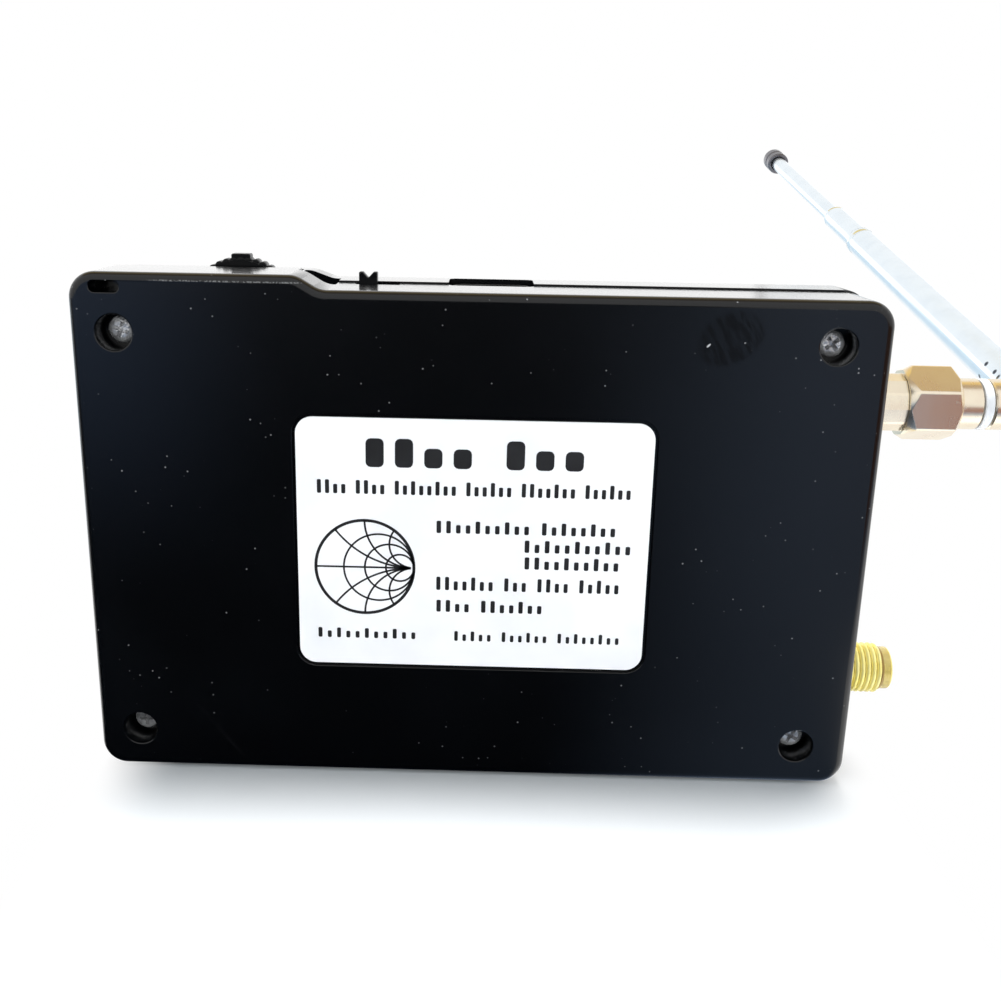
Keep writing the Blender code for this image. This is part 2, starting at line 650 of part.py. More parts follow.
def case_screws():
    names = ("case_screw_low_port_side", "case_screw_low_wheel_side",
             "case_screw_high_port_side", "case_screw_high_wheel_side")
    rim = SCREW_HEAD_HEIGHT / 2
    under = -SCREW_HEAD_HEIGHT
    point = under - SCREW_LENGTH
    profile = [(0, 0), (0, SCREW_HEAD_RADIUS / 2), (-rim / 2, SCREW_DOME_RADIUS),
               (-rim, SCREW_HEAD_RADIUS), (under, SCREW_HEAD_RADIUS), (under, SCREW_SHANK_RADIUS),
               (point + SCREW_TIP, SCREW_SHANK_RADIUS), (point, SCREW_POINT_RADIUS), (point, 0)]
    towards_rear = (-QUARTER_TURN, 0, 0)
    for name, (x, z) in zip(names, SCREW_PLACES):
        place = (x, at_depth(SCREW_SUNK), z)
        screw = turned(name, profile[::-1], SMALL_ROUND_STEPS, location=place, rotation=towards_rear)
        span, width = SCREW_CROSS_SPAN / 2, SCREW_CROSS_WIDTH / 2
        cross = [(span, -width), (span, width), (width, width), (width, span), (-width, span),
                 (-width, width), (-span, width), (-span, -width), (-width, -width), (-width, -span),
                 (width, -span), (width, -width)]
        recess = prism(f"{name}_cross", cross, -SCREW_CROSS_DEPTH, OVERRUN, "Z",
                       location=place, rotation=towards_rear)
        work(screw, "DIFFERENCE", recess)
        bright_nickel(screw)


# Board and what is soldered to it

def main_board():
    flange = PORT_FLANGE / 2 + FIT
    notch_floor = -HALF_WIDTH + WALL + FINE_FIT + PORT_FLANGE_THICKNESS + FIT
    tail_floor = notch_floor + CONTACT_TAIL_LENGTH + FIT
    tail = CONTACT_TAIL_RADIUS + FIT
    switch = SWITCH_BODY_WIDTH / 2 + FIT
    switch_floor = BOARD_TOP - SWITCH_BODY_HEIGHT - FIT
    outline = [(BOARD_LEFT, BOARD_FOOT), (BOARD_RIGHT, BOARD_FOOT), (BOARD_RIGHT, BOARD_TOP),
               (SWITCH_X + switch, BOARD_TOP), (SWITCH_X + switch, switch_floor),
               (SWITCH_X - switch, switch_floor), (SWITCH_X - switch, BOARD_TOP), (BOARD_LEFT, BOARD_TOP)]
    for z in PORT_HEIGHTS:
        outline += [(BOARD_LEFT, z + flange), (notch_floor, z + flange), (notch_floor, z + tail),
                    (tail_floor, z + tail), (tail_floor, z - tail), (notch_floor, z - tail),
                    (notch_floor, z - flange), (BOARD_LEFT, z - flange)]
    board = prism("main_board", outline, at_depth(BOARD_FRONT_DEPTH), at_depth(BOARD_REAR_DEPTH))
    holes = [disc_outline(x, z, SCREW_SHANK_RADIUS + FIT) for x, z in SCREW_PLACES]
    hole_tool = outline_tools("board_holes", holes, at_depth(BOARD_FRONT_DEPTH + OVERRUN),
                              at_depth(BOARD_REAR_DEPTH - OVERRUN))
    work(board, "DIFFERENCE", hole_tool)
    return paint(board, (0.02, 0.09, 0.05), 0.4)


def chip(name, x, z, width, height):
    """A chip package on the board's rear side, with its edges eased."""
    item = board_block(name, x, z, width, height, CHIP_TOP_DEPTH - CHIP_THICKNESS, CHIP_TOP_DEPTH)
    ease = item.modifiers.new("eased edges", "BEVEL")
    ease.width = CHIP_CHAMFER
    ease.segments = 1
    return chip_plastic(item)


def chips():
    mixer_x = -HALF_WIDTH + CAN_FROM_SIDE + CAN_WIDTH / 2
    middle_z = sum(PORT_HEIGHTS) / 2
    names = ("mixer_chip_upper", "mixer_chip_lower", "mixer_chip_middle")
    for name, z in zip(names, (*PORT_HEIGHTS, middle_z)):
        chip(name, mixer_x, z, MIXER_SIZE, MIXER_SIZE)
    chip("clock_chip", mixer_x + CLOCK_FROM_MIXER, middle_z, CLOCK_SIZE, CLOCK_SIZE)
    chip("processor_chip", CHIP_COLUMN_X, CHIP_COLUMN_Z, PROCESSOR_SIZE, PROCESSOR_SIZE)
    chip("power_chip", CHIP_COLUMN_X, CHIP_COLUMN_Z + 2 * CHIP_ROW_PITCH, POWER_CHIP_WIDTH, POWER_CHIP_HEIGHT)


def crystal_can():
    outline = rounded_rectangle(CHIP_COLUMN_X, CHIP_COLUMN_Z + CHIP_ROW_PITCH, CRYSTAL_LENGTH, CRYSTAL_WIDTH,
                                CRYSTAL_WIDTH / 2 - FINE_FIT)
    can = prism("crystal_can", outline, at_depth(CHIP_TOP_DEPTH), at_depth(CHIP_TOP_DEPTH - CRYSTAL_HEIGHT))
    return bright_nickel(can)


def shield_cans():
    x = -HALF_WIDTH + CAN_FROM_SIDE + CAN_WIDTH / 2
    for name, z in zip(("shield_can_upper", "shield_can_lower"), PORT_HEIGHTS):
        lid_depth = CHIP_TOP_DEPTH - CAN_DEPTH
        can = board_block(name, x, z, CAN_WIDTH, CAN_HEIGHT, lid_depth, CHIP_TOP_DEPTH)
        hollow = board_block(f"{name}_hollow", x, z, CAN_WIDTH - 2 * CAN_WALL, CAN_HEIGHT - 2 * CAN_WALL,
                             lid_depth + CAN_WALL, BOARD_REAR_DEPTH)
        work(can, "DIFFERENCE", hollow)
        bright_nickel(can)


def status_lamp():
    x = JOG_X + LAMP_FROM_WHEEL
    z = BOARD_TOP - LAMP_HEIGHT
    near = BOARD_FRONT_DEPTH + FIT
    lamp = board_block("status_lamp", x, z, LAMP_WIDTH, LAMP_HEIGHT, near, near + LAMP_THICKNESS)
    return paint(lamp, (0.75, 0.72, 0.55), 0.3)


# Display

def display_sheet(name, near_depth, thickness):
    middle = (DISPLAY_LEFT + DISPLAY_RIGHT) / 2
    height = (DISPLAY_FOOT + DISPLAY_TOP) / 2
    return board_block(name, middle, height, DISPLAY_RIGHT - DISPLAY_LEFT, DISPLAY_TOP - DISPLAY_FOOT,
                       near_depth, near_depth + thickness)


def display_stack():
    touch_near = FRONT_INNER_DEPTH - FIT - TOUCH_THICKNESS
    panel_near = touch_near - FIT - PANEL_THICKNESS
    backlight_near = panel_near - FIT - BACKLIGHT_THICKNESS
    touch = display_sheet("touch_panel", touch_near, TOUCH_THICKNESS)
    paint(touch, (0.02, 0.022, 0.026), 0.08)
    panel = display_sheet("display_panel", panel_near, PANEL_THICKNESS)
    paint(panel, (0.03, 0.032, 0.036), 0.15)
    backlight = display_sheet("backlight_unit", backlight_near, BACKLIGHT_THICKNESS)
    paint(backlight, (0.7, 0.7, 0.68), 0.4)
    pad_near = BOARD_FRONT_DEPTH + FIT
    pad_z = (DISPLAY_FOOT + DISPLAY_TOP) / 2
    pad_height = DISPLAY_TOP - DISPLAY_FOOT - 2 * FOAM_FROM_END
    foam_inset = FOAM_FROM_SIDE + FOAM_WIDTH / 2
    for name, x in (("foam_pad_port_side", DISPLAY_LEFT + foam_inset),
                    ("foam_pad_wheel_side", DISPLAY_RIGHT - foam_inset)):
        pad = board_block(name, x, pad_z, FOAM_WIDTH, pad_height, pad_near, backlight_near - FIT)
        paint(pad, (0.05, 0.05, 0.05), 0.95)
    ribbon_cable(panel_near + PANEL_THICKNESS / 2)


def ribbon_cable(panel_depth):
    """The display's ribbon, which eases down from the panel's edge to its socket on the board."""
    socket_near = BOARD_FRONT_DEPTH + FIT
    socket_depth = socket_near + RIBBON_SOCKET_HEIGHT / 2
    z = (DISPLAY_FOOT + DISPLAY_TOP) / 2
    start = DISPLAY_RIGHT + FIT
    upper, lower = [], []
    for bend in range(CABLE_BENDS + 1):
        share = bend / CABLE_BENDS
        ease = share * share * (3 - 2 * share)
        slope = 6 * share * (1 - share) * (socket_depth - panel_depth) / RIBBON_RUN
        across = Vector((slope, 1)).normalized() * RIBBON_THICKNESS / 2
        x = start + RIBBON_RUN * share
        y = at_depth(panel_depth + (socket_depth - panel_depth) * ease)
        upper.append((x + across.x, y + across.y))
        lower.append((x - across.x, y - across.y))
    ribbon = prism("display_ribbon", lower + upper[::-1], z - RIBBON_WIDTH / 2, z + RIBBON_WIDTH / 2, "Z")
    paint(ribbon, (0.55, 0.27, 0.08), 0.35)
    socket_x = start + RIBBON_RUN + FIT + RIBBON_SOCKET_WIDTH / 2
    socket = board_block("ribbon_socket", socket_x, z, RIBBON_SOCKET_WIDTH,
                         RIBBON_WIDTH + RIBBON_SOCKET_WIDTH, socket_near, socket_near + RIBBON_SOCKET_HEIGHT)
    paint(socket, (0.75, 0.73, 0.66), 0.5)


# Battery

def battery():
    pad_near = WALL + FINE_FIT
    cell_near = pad_near + BATTERY_PAD_THICKNESS + FINE_FIT
    cell_far = BOARD_REAR_DEPTH - BATTERY_CHIP_ROOM
    z = CASE_HEIGHT / 2
    middle = (BATTERY_LEFT + BATTERY_RIGHT) / 2
    pad = board_block("battery_pad", middle, z, BATTERY_RIGHT - BATTERY_LEFT - 2 * BATTERY_PAD_INSET,
                      BATTERY_HEIGHT - 2 * BATTERY_PAD_INSET, pad_near, pad_near + BATTERY_PAD_THICKNESS)
    paint(pad, (0.6, 0.6, 0.58), 0.8)
    middle_depth = (cell_near + cell_far) / 2
    section = rounded_rectangle(at_depth(middle_depth), z, cell_far - cell_near, BATTERY_HEIGHT,
                                BATTERY_EDGE_RADIUS)
    cell = prism("battery_cell", section, BATTERY_LEFT, BATTERY_RIGHT, "X")
    paint(cell, (0.62, 0.63, 0.65), 0.3, 0.4)
    socket_x = BATTERY_RIGHT + LEAD_RUN + FIT + BATTERY_SOCKET_WIDTH / 2
    lead_z = z - BATTERY_HEIGHT / 2 + LEAD_FROM_BATTERY_FOOT
    socket_z = lead_z - LEAD_FALL
    socket = board_block("battery_socket", socket_x, socket_z, BATTERY_SOCKET_WIDTH, BATTERY_SOCKET_LENGTH,
                         CHIP_TOP_DEPTH - BATTERY_SOCKET_HEIGHT, CHIP_TOP_DEPTH)
    paint(socket, (0.8, 0.79, 0.74), 0.5)
    lead_depth = CHIP_TOP_DEPTH - BATTERY_SOCKET_HEIGHT / 2
    for name, side, colour in (("battery_lead_red", 1, (0.55, 0.02, 0.02)),
                               ("battery_lead_black", -1, (0.01, 0.01, 0.01))):
        height = lead_z + side * LEAD_PITCH / 2
        start = (BATTERY_RIGHT + FIT, at_depth(min(lead_depth, cell_far - LEAD_RADIUS)), height)
        end = (BATTERY_RIGHT + LEAD_RUN, at_depth(lead_depth), height - LEAD_FALL)
        paint(battery_lead(name, start, end), colour, 0.5)


def battery_lead(name, start, end):
    """A short insulated wire that swings smoothly from the battery's end to its socket."""
    curve = bpy.data.curves.new(name, "CURVE")
    curve.dimensions = "3D"
    curve.bevel_depth = LEAD_RADIUS
    curve.bevel_resolution = 2
    curve.use_fill_caps = True
    spline = curve.splines.new("POLY")
    spline.points.add(CABLE_BENDS)
    for bend, point in enumerate(spline.points):
        share = bend / CABLE_BENDS
        ease = share * share * (3 - 2 * share)
        x = start[0] + (end[0] - start[0]) * share
        y = start[1] + (end[1] - start[1]) * ease
        z = start[2] + (end[2] - start[2]) * ease
        point.co = (x, y, z, 1)
    lead = bpy.data.objects.new(name, curve)
    bpy.context.collection.objects.link(lead)
    return lead


# Thumb wheel and its jog switch

def wheel_radius(angle):
    """The knurled rim: a cosine wave between root and crest, with a flat tab over the wheel's middle."""
    pitch = math.radians(WHEEL_TEETH_DEGREES) / WHEEL_TEETH
    middle = (WHEEL_CREST_RADIUS + WHEEL_ROOT_RADIUS) / 2
    swing = (WHEEL_CREST_RADIUS - WHEEL_ROOT_RADIUS) / 2
    return middle + swing * math.cos(math.tau * (angle - QUARTER_TURN) / pitch)


def half_wheel_outline(radius_at, samples):
    """The wheel's upper part down to just below its axle, closed by its round hub."""
    sweep = math.radians(WHEEL_TEETH_DEGREES)
    first = QUARTER_TURN - sweep / 2
    points = []
    for sample in range(samples + 1):
        angle = first + sweep * sample / samples
        points.append((radius_at(angle) * math.cos(angle), radius_at(angle) * math.sin(angle)))
    chord = -math.sin(first) * radius_at(first)
    hub_first = math.asin(min(chord / WHEEL_HUB_RADIUS, 1.0))
    for step in range(HUB_STEPS + 1):
        angle = math.pi + hub_first + (math.pi - 2 * hub_first) * step / HUB_STEPS
        points.append((WHEEL_HUB_RADIUS * math.cos(angle), WHEEL_HUB_RADIUS * math.sin(angle)))
    return points


def thumb_wheel():
    place = {"location": (JOG_X, 0, JOG_Z)}
    samples = WHEEL_TEETH * TEETH_SAMPLES
    knurled = prism("jog_wheel", half_wheel_outline(wheel_radius, samples),
                    at_depth(WHEEL_FAR_DEPTH), at_depth(WHEEL_DISC_END), **place)
    overlap = WHEEL_DISC_THICKNESS / 2
    disc = prism("wheel_disc", half_wheel_outline(lambda angle: WHEEL_DISC_RADIUS, ROUND_STEPS),
                 at_depth(WHEEL_DISC_END + overlap), at_depth(WHEEL_NEAR_DEPTH), **place)
    half = WHEEL_TAB_WIDTH / 2
    foot = WHEEL_ROOT_RADIUS - (WHEEL_TAB_RADIUS - WHEEL_ROOT_RADIUS)
    ease = WHEEL_TAB_EASE
    tab = prism("wheel_tab", [(-half, foot), (half, foot), (half, WHEEL_TAB_RADIUS - ease),
                              (half - ease, WHEEL_TAB_RADIUS), (ease - half, WHEEL_TAB_RADIUS),
                              (-half, WHEEL_TAB_RADIUS - ease)],
                at_depth(WHEEL_FAR_DEPTH - ease), at_depth(WHEEL_DISC_END + ease), **place)
    work(knurled, "UNION", disc, tab)
    bore = prism("wheel_bore", disc_outline(0, 0, AXLE_RADIUS + FINE_FIT),
                 at_depth(WHEEL_FAR_DEPTH + OVERRUN), at_depth(WHEEL_NEAR_DEPTH - OVERRUN), **place)
    work(knurled, "DIFFERENCE", bore)
    return black_plastic(knurled)


def jog_heights():
    """The heights, from the axle, of the carriage foot's top and bottom and of the body's top and bottom."""
    foot_top = -WHEEL_HUB_RADIUS - FIT
    body_top = foot_top - FINE_FIT
    body_foot = body_top - JOG_BODY_HEIGHT
    foot_bottom = body_foot + JOG_BODY_FLOOR + JOG_TRAVEL + FINE_FIT
    return foot_top, foot_bottom, body_top, body_foot


def jog_carriage():
    foot_top, foot_bottom, _, _ = jog_heights()
    place = {"location": (JOG_X, 0, JOG_Z)}
    plate_near = WHEEL_FAR_DEPTH + FIT
    plate_far = plate_near + CARRIAGE_PLATE
    half = CARRIAGE_HALF_WIDTH
    top = CARRIAGE_ABOVE_AXLE
    outline = [(-half, foot_bottom), (half, foot_bottom), (half, 0), (half / 2, top), (-half / 2, top),
               (-half, 0)]
    plate = prism("jog_carriage", outline, at_depth(plate_far), at_depth(plate_near), **place)
    overlap = CARRIAGE_PLATE / 2
    foot_outline = [(-half, foot_bottom), (half, foot_bottom), (half, foot_top), (-half, foot_top)]
    foot = prism("carriage_foot", foot_outline, at_depth(plate_near + overlap),
                 at_depth(WHEEL_NEAR_DEPTH + FIT), **place)
    axle = prism("carriage_axle", disc_outline(0, 0, AXLE_RADIUS),
                 at_depth(plate_near + overlap), at_depth(WHEEL_NEAR_DEPTH + FINE_FIT), **place)
    work(plate, "UNION", foot, axle)
    return paint(plate, (0.7, 0.68, 0.62), 0.4)


def jog_switch_body():
    _, _, body_top, body_foot = jog_heights()
    near = BOARD_FRONT_DEPTH + FIT
    plate_far = WHEEL_FAR_DEPTH + FIT + CARRIAGE_PLATE
    far = plate_far + FIT + FINE_FIT
    body = block("jog_switch_body", (JOG_X - JOG_BODY_HALF_WIDTH, at_depth(far), JOG_Z + body_foot),
                 (JOG_X + JOG_BODY_HALF_WIDTH, at_depth(near), JOG_Z + body_top))
    half = CARRIAGE_HALF_WIDTH + FIT
    pocket_floor = JOG_Z + body_foot + JOG_BODY_FLOOR
    pocket = block("carriage_pocket", (JOG_X - half, at_depth(plate_far + FINE_FIT), pocket_floor),
                   (JOG_X + half, at_depth(WHEEL_NEAR_DEPTH + FINE_FIT), JOG_Z + body_top + OVERRUN))
    work(body, "DIFFERENCE", pocket)
    return paint(body, (0.03, 0.03, 0.03), 0.5)


# Slide switch

def power_switch():
    half_depth = SWITCH_BODY_DEPTH / 2
    half_width = SWITCH_BODY_WIDTH / 2
    foot = BOARD_TOP - SWITCH_BODY_HEIGHT
    body = block("power_switch_body", (SWITCH_X - half_width, at_depth(SWITCH_DEPTH + half_depth), foot),
                 (SWITCH_X + half_width, at_depth(SWITCH_DEPTH - half_depth), BOARD_TOP))
    channel_half = (SWITCH_TRAVEL + KNOB_WIDTH) / 2 + FINE_FIT
    channel_depth = KNOB_THICKNESS / 2 + FINE_FIT
    channel = block("switch_channel",
                    (SWITCH_X - channel_half, at_depth(SWITCH_DEPTH + channel_depth), foot + SWITCH_FLOOR),
                    (SWITCH_X + channel_half, at_depth(SWITCH_DEPTH - channel_depth), BOARD_TOP + OVERRUN))
    work(body, "DIFFERENCE", channel)
    paint(body, (0.6, 0.6, 0.58), 0.3, 0.8)
    half = KNOB_WIDTH / 2
    top = CASE_HEIGHT + KNOB_PROUD - BOARD_TOP
    notch = KNOB_NOTCH_HALF_WIDTH
    outline = [(-half, -KNOB_ROOT), (half, -KNOB_ROOT), (half, top), (notch, top), (0, top - KNOB_NOTCH),
               (-notch, top), (-half, top)]
    slider = prism("power_switch_slider", outline, -KNOB_THICKNESS / 2, KNOB_THICKNESS / 2,
                   location=(SWITCH_X + SWITCH_TRAVEL / 2, at_depth(SWITCH_DEPTH), BOARD_TOP))
    return black_plastic(slider)


# USB socket

def usb_socket():
    top = CASE_HEIGHT - USB_SUNK
    foot = top - USB_LENGTH
    y = at_depth(USB_DEPTH)
    outer = rounded_rectangle(USB_X, y, USB_WIDTH, USB_THICKNESS, USB_THICKNESS / 2 - FINE_FIT)
    socket = prism("usb_socket_shell", outer, foot, top, "Z")
    bore_width = USB_WIDTH - 2 * USB_WALL
    bore_thickness = USB_THICKNESS - 2 * USB_WALL
    bore = rounded_rectangle(USB_X, y, bore_width, bore_thickness, bore_thickness / 2 - FINE_FIT)
    bore_tool = prism("usb_bore", bore, foot + USB_BACK_WALL, top + OVERRUN, "Z")
    work(socket, "DIFFERENCE", bore_tool)
    bright_nickel(socket)
    half_width, half_thickness = USB_TONGUE_WIDTH / 2, USB_TONGUE_THICKNESS / 2
    tongue = block("usb_socket_tongue",
                   (USB_X - half_width, y - half_thickness, foot + USB_BACK_WALL + FINE_FIT),
                   (USB_X + half_width, y + half_thickness, top - USB_TONGUE_SHORT))
    return chip_plastic(tongue)


# Ports

def port_frame(name, z, turn_degrees=0):
    """An empty on a port's axis at the case's side face; turning it turns what it carries about that axis."""
    frame = bpy.data.objects.new(name, None)
    bpy.context.collection.objects.link(frame)
    frame.location = (-HALF_WIDTH, at_depth(BOARD_MIDDLE_DEPTH), z)
    frame.rotation_euler = (math.radians(turn_degrees), 0, 0)
    return frame


def outward():
    """The turn that takes a turned piece's local Z out along a port's axis."""
    return (0, -QUARTER_TURN, 0)


def threaded_profile(start, end_of_thread):
    """Outer profile of the threaded barrel: V grooves at the thread's pitch, then the plain lip."""
    first = end_of_thread - PORT_THREADS * PORT_PITCH
    points = [(start, PORT_ROOT_RADIUS)]
    for turn in range(PORT_THREADS):
        points.append((first + turn * PORT_PITCH, PORT_ROOT_RADIUS))
        points.append((first + turn * PORT_PITCH + PORT_PITCH / 2, PORT_CREST_RADIUS))
    points.append((end_of_thread, PORT_LIP_RADIUS))
    return points


def port(label, z):
    frame = port_frame(f"{label}_port_frame", z)
    place = {"parent": frame, "rotation": outward()}
    flange_out = -WALL - FINE_FIT
    flange_in = flange_out - PORT_FLANGE_THICKNESS
    profile = [(flange_in + OVERRUN / 2, 0)]
    profile += threaded_profile(flange_in + OVERRUN / 2, PORT_REACH - PORT_LIP)
    profile += [(PORT_REACH - PORT_LIP_CHAMFER, PORT_LIP_RADIUS),
                (PORT_REACH, PORT_LIP_RADIUS - PORT_LIP_CHAMFER), (PORT_REACH, 0)]
    jack = turned(f"{label}_port_jack", profile, **place)
    half = PORT_FLANGE / 2
    square = [(-half, -half), (half, -half), (half, half), (-half, half)]
    flange = prism(f"{label}_port_flange", square, flange_in, flange_out, "Z", **place)
    prong_low = flange_in - PORT_PRONG_LENGTH
    near = BOARD_THICKNESS / 2 + FIT
    half_width, half_thickness = PORT_PRONG_WIDTH / 2, PORT_PRONG_THICKNESS / 2
    outlines = []
    for across in (-PORT_PRONG_SPACING / 2, PORT_PRONG_SPACING / 2):
        left, right = across - half_width, across + half_width
        for level in (near + half_thickness, -near - half_thickness):
            low, high = level - half_thickness, level + half_thickness
            outlines.append([(left, low), (right, low), (right, high), (left, high)])
    prongs = outline_tools(f"{label}_port_prongs", outlines, prong_low, flange_in + OVERRUN / 2, "Z")
    prongs.parent = frame
    prongs.rotation_euler = outward()
    inner, outer = flange_in - OVERRUN, PORT_REACH + OVERRUN
    bore_profile = [(inner, 0), (inner, PORT_BORE_RADIUS), (outer, PORT_BORE_RADIUS), (outer, 0)]
    bore = turned(f"{label}_port_bore", bore_profile, **place)
    work(jack, "UNION", flange, prongs)
    work(jack, "DIFFERENCE", bore)
    gold_plate(jack)
    face = PORT_REACH - PORT_FACE_SUNK
    sleeve = PORT_BORE_RADIUS - FINE_FIT
    hole = CONTACT_RADIUS + FINE_FIT
    sleeve_profile = [(flange_in, hole), (flange_in, sleeve), (face, sleeve), (face, hole)]
    white_insulator(turned(f"{label}_port_insulator", sleeve_profile, **place))
    tail = flange_in - CONTACT_TAIL_LENGTH
    socket = face - CONTACT_SOCKET_DEPTH
    contact_profile = [(tail, 0), (tail, CONTACT_TAIL_RADIUS), (flange_in, CONTACT_TAIL_RADIUS),
                       (flange_in, CONTACT_RADIUS), (face, CONTACT_RADIUS), (face, CONTACT_SOCKET_RADIUS),
                       (socket, CONTACT_SOCKET_RADIUS), (socket, 0)]
    gold_plate(turned(f"{label}_port_contact", contact_profile, SMALL_ROUND_STEPS, **place))


# Antenna: its frame's local Z points along the rod and its local -X out of the port

def coupling_nut(frame):
    place = {"parent": frame, "rotation": outward()}
    flat = NUT_ACROSS_FLATS / 2
    corner = flat / math.cos(math.pi / HEX_SIDES)
    first = math.radians(NUT_TURN_DEGREES - ROD_RISE_DEGREES) + 2 * QUARTER_TURN
    angles = [first + math.tau * side / HEX_SIDES for side in range(HEX_SIDES)]
    hexagon = [(corner * math.cos(a), corner * math.sin(a)) for a in angles]
    nut = prism("antenna_nut", hexagon, NUT_HEX_REACH, NUT_FAR_REACH, "Z", **place)
    eased = NUT_HEX_REACH + NUT_NEAR_CHAMFER
    limit = turned("nut_chamfer", [(NUT_HEX_REACH, 0), (NUT_HEX_REACH, flat - FINE_FIT),
                                   (eased, corner + FINE_FIT),
                                   (NUT_FAR_REACH - NUT_FAR_CHAMFER, corner + FINE_FIT),
                                   (NUT_FAR_REACH, flat - FINE_FIT), (NUT_FAR_REACH, 0)], **place)
    work(nut, "INTERSECT", limit)
    skirt = turned("nut_skirt", [(NUT_NEAR_REACH, 0), (NUT_NEAR_REACH, NUT_SKIRT_RADIUS - FINE_FIT),
                                 (NUT_NEAR_REACH + FINE_FIT, NUT_SKIRT_RADIUS),
                                 (eased, NUT_SKIRT_RADIUS), (eased, 0)], **place)
    work(nut, "UNION", skirt)
    inside = PORT_CREST_RADIUS + FINE_FIT
    inner, outer = NUT_NEAR_REACH - OVERRUN, NUT_FAR_REACH + OVERRUN
    bore = turned("nut_bore", [(inner, 0), (inner, inside), (NUT_LIP_REACH, inside),
                               (NUT_LIP_REACH, NUT_LIP_RADIUS), (outer, NUT_LIP_RADIUS), (outer, 0)], **place)
    work(nut, "DIFFERENCE", bore)
    return paint(nut, (0.72, 0.62, 0.48), 0.25, 1.0)


def antenna_plug(frame):
    place = {"parent": frame, "rotation": outward()}
    shoulder = NUT_LIP_REACH - FINE_FIT
    bore_end = PLUG_NEAR_REACH + PLUG_BORE_LENGTH
    profile = [(bore_end, 0), (bore_end, PLUG_BORE_RADIUS), (PLUG_NEAR_REACH, PLUG_BORE_RADIUS),
               (PLUG_NEAR_REACH, PLUG_FLANGE_RADIUS), (shoulder, PLUG_FLANGE_RADIUS),
               (shoulder, PLUG_NECK_RADIUS), (PLUG_BARREL_REACH, PLUG_NECK_RADIUS),
               (PLUG_BARREL_REACH, PLUG_BARREL_RADIUS), (PLUG_BARREL_END, PLUG_BARREL_RADIUS),
               (PLUG_BARREL_END, PLUG_STUB_RADIUS), (PLUG_STUB_END, PLUG_STUB_RADIUS), (PLUG_STUB_END, 0)]
    gold_plate(turned("antenna_plug_body", profile, **place))
    hole = PLUG_PIN_RADIUS + FINE_FIT
    sleeve = PLUG_BORE_RADIUS - FINE_FIT
    inner = bore_end - FINE_FIT
    sleeve_profile = [(PLUG_NEAR_REACH, hole), (PLUG_NEAR_REACH, sleeve), (inner, sleeve), (inner, hole)]
    white_insulator(turned("antenna_plug_insulator", sleeve_profile, SMALL_ROUND_STEPS, **place))
    tip = PLUG_NEAR_REACH - PLUG_PIN_REACH
    pin_profile = [(tip, 0), (tip, PLUG_PIN_RADIUS / 2), (tip + PLUG_PIN_RADIUS, PLUG_PIN_RADIUS),
                   (inner, PLUG_PIN_RADIUS), (inner, 0)]
    gold_plate(turned("antenna_plug_pin", pin_profile, SMALL_ROUND_STEPS, **place))
    bore = PLUG_STUB_RADIUS + FINE_FIT
    ring_end = RING_REACH + RING_THICKNESS
    ring_profile = [(RING_REACH, bore), (RING_REACH, PLUG_BARREL_RADIUS), (ring_end, PLUG_BARREL_RADIUS),
                    (ring_end, bore)]
    white_insulator(turned("antenna_ring", ring_profile, **place))


def swivel_fork(frame):
    place = {"parent": frame, "rotation": outward()}
    radius = PLUG_BARREL_RADIUS
    bore = PLUG_STUB_RADIUS + FINE_FIT
    profile = [(FORK_BORE_END, 0), (FORK_BORE_END, bore), (FORK_REACH, bore), (FORK_REACH, radius)]
    for step in range(DOME_STEPS):
        angle = QUARTER_TURN * step / DOME_STEPS
        profile.append((PIVOT_REACH + radius * math.sin(angle), radius * math.cos(angle)))
    profile.append((PIVOT_REACH + radius, 0))
    fork = turned("swivel_fork", profile, **place)
    half = TONGUE_THICKNESS / 2 + FINE_FIT
    floor = PIVOT_REACH - FORK_FLOOR_TO_PIVOT
    beyond = radius + OVERRUN
    slot_outline = [(-beyond, -half), (beyond, -half), (beyond, half), (-beyond, half)]
    slot = prism("fork_slot", slot_outline, floor, PIVOT_REACH + beyond, "Z", **place)
    across = {"parent": frame, "location": (-PIVOT_REACH, 0, 0)}
    pin_outline = disc_outline(0, 0, ELBOW_PIN_RADIUS + FINE_FIT)
    hole = prism("fork_pin_hole", pin_outline, -beyond, beyond, "Y", **across)
    work(fork, "DIFFERENCE", slot, hole)
    bright_nickel(fork)
    reach = radius - FINE_FIT
    pin = prism("elbow_pin", disc_outline(0, 0, ELBOW_PIN_RADIUS), -reach, reach, "Y", **across)
    return bright_nickel(pin)


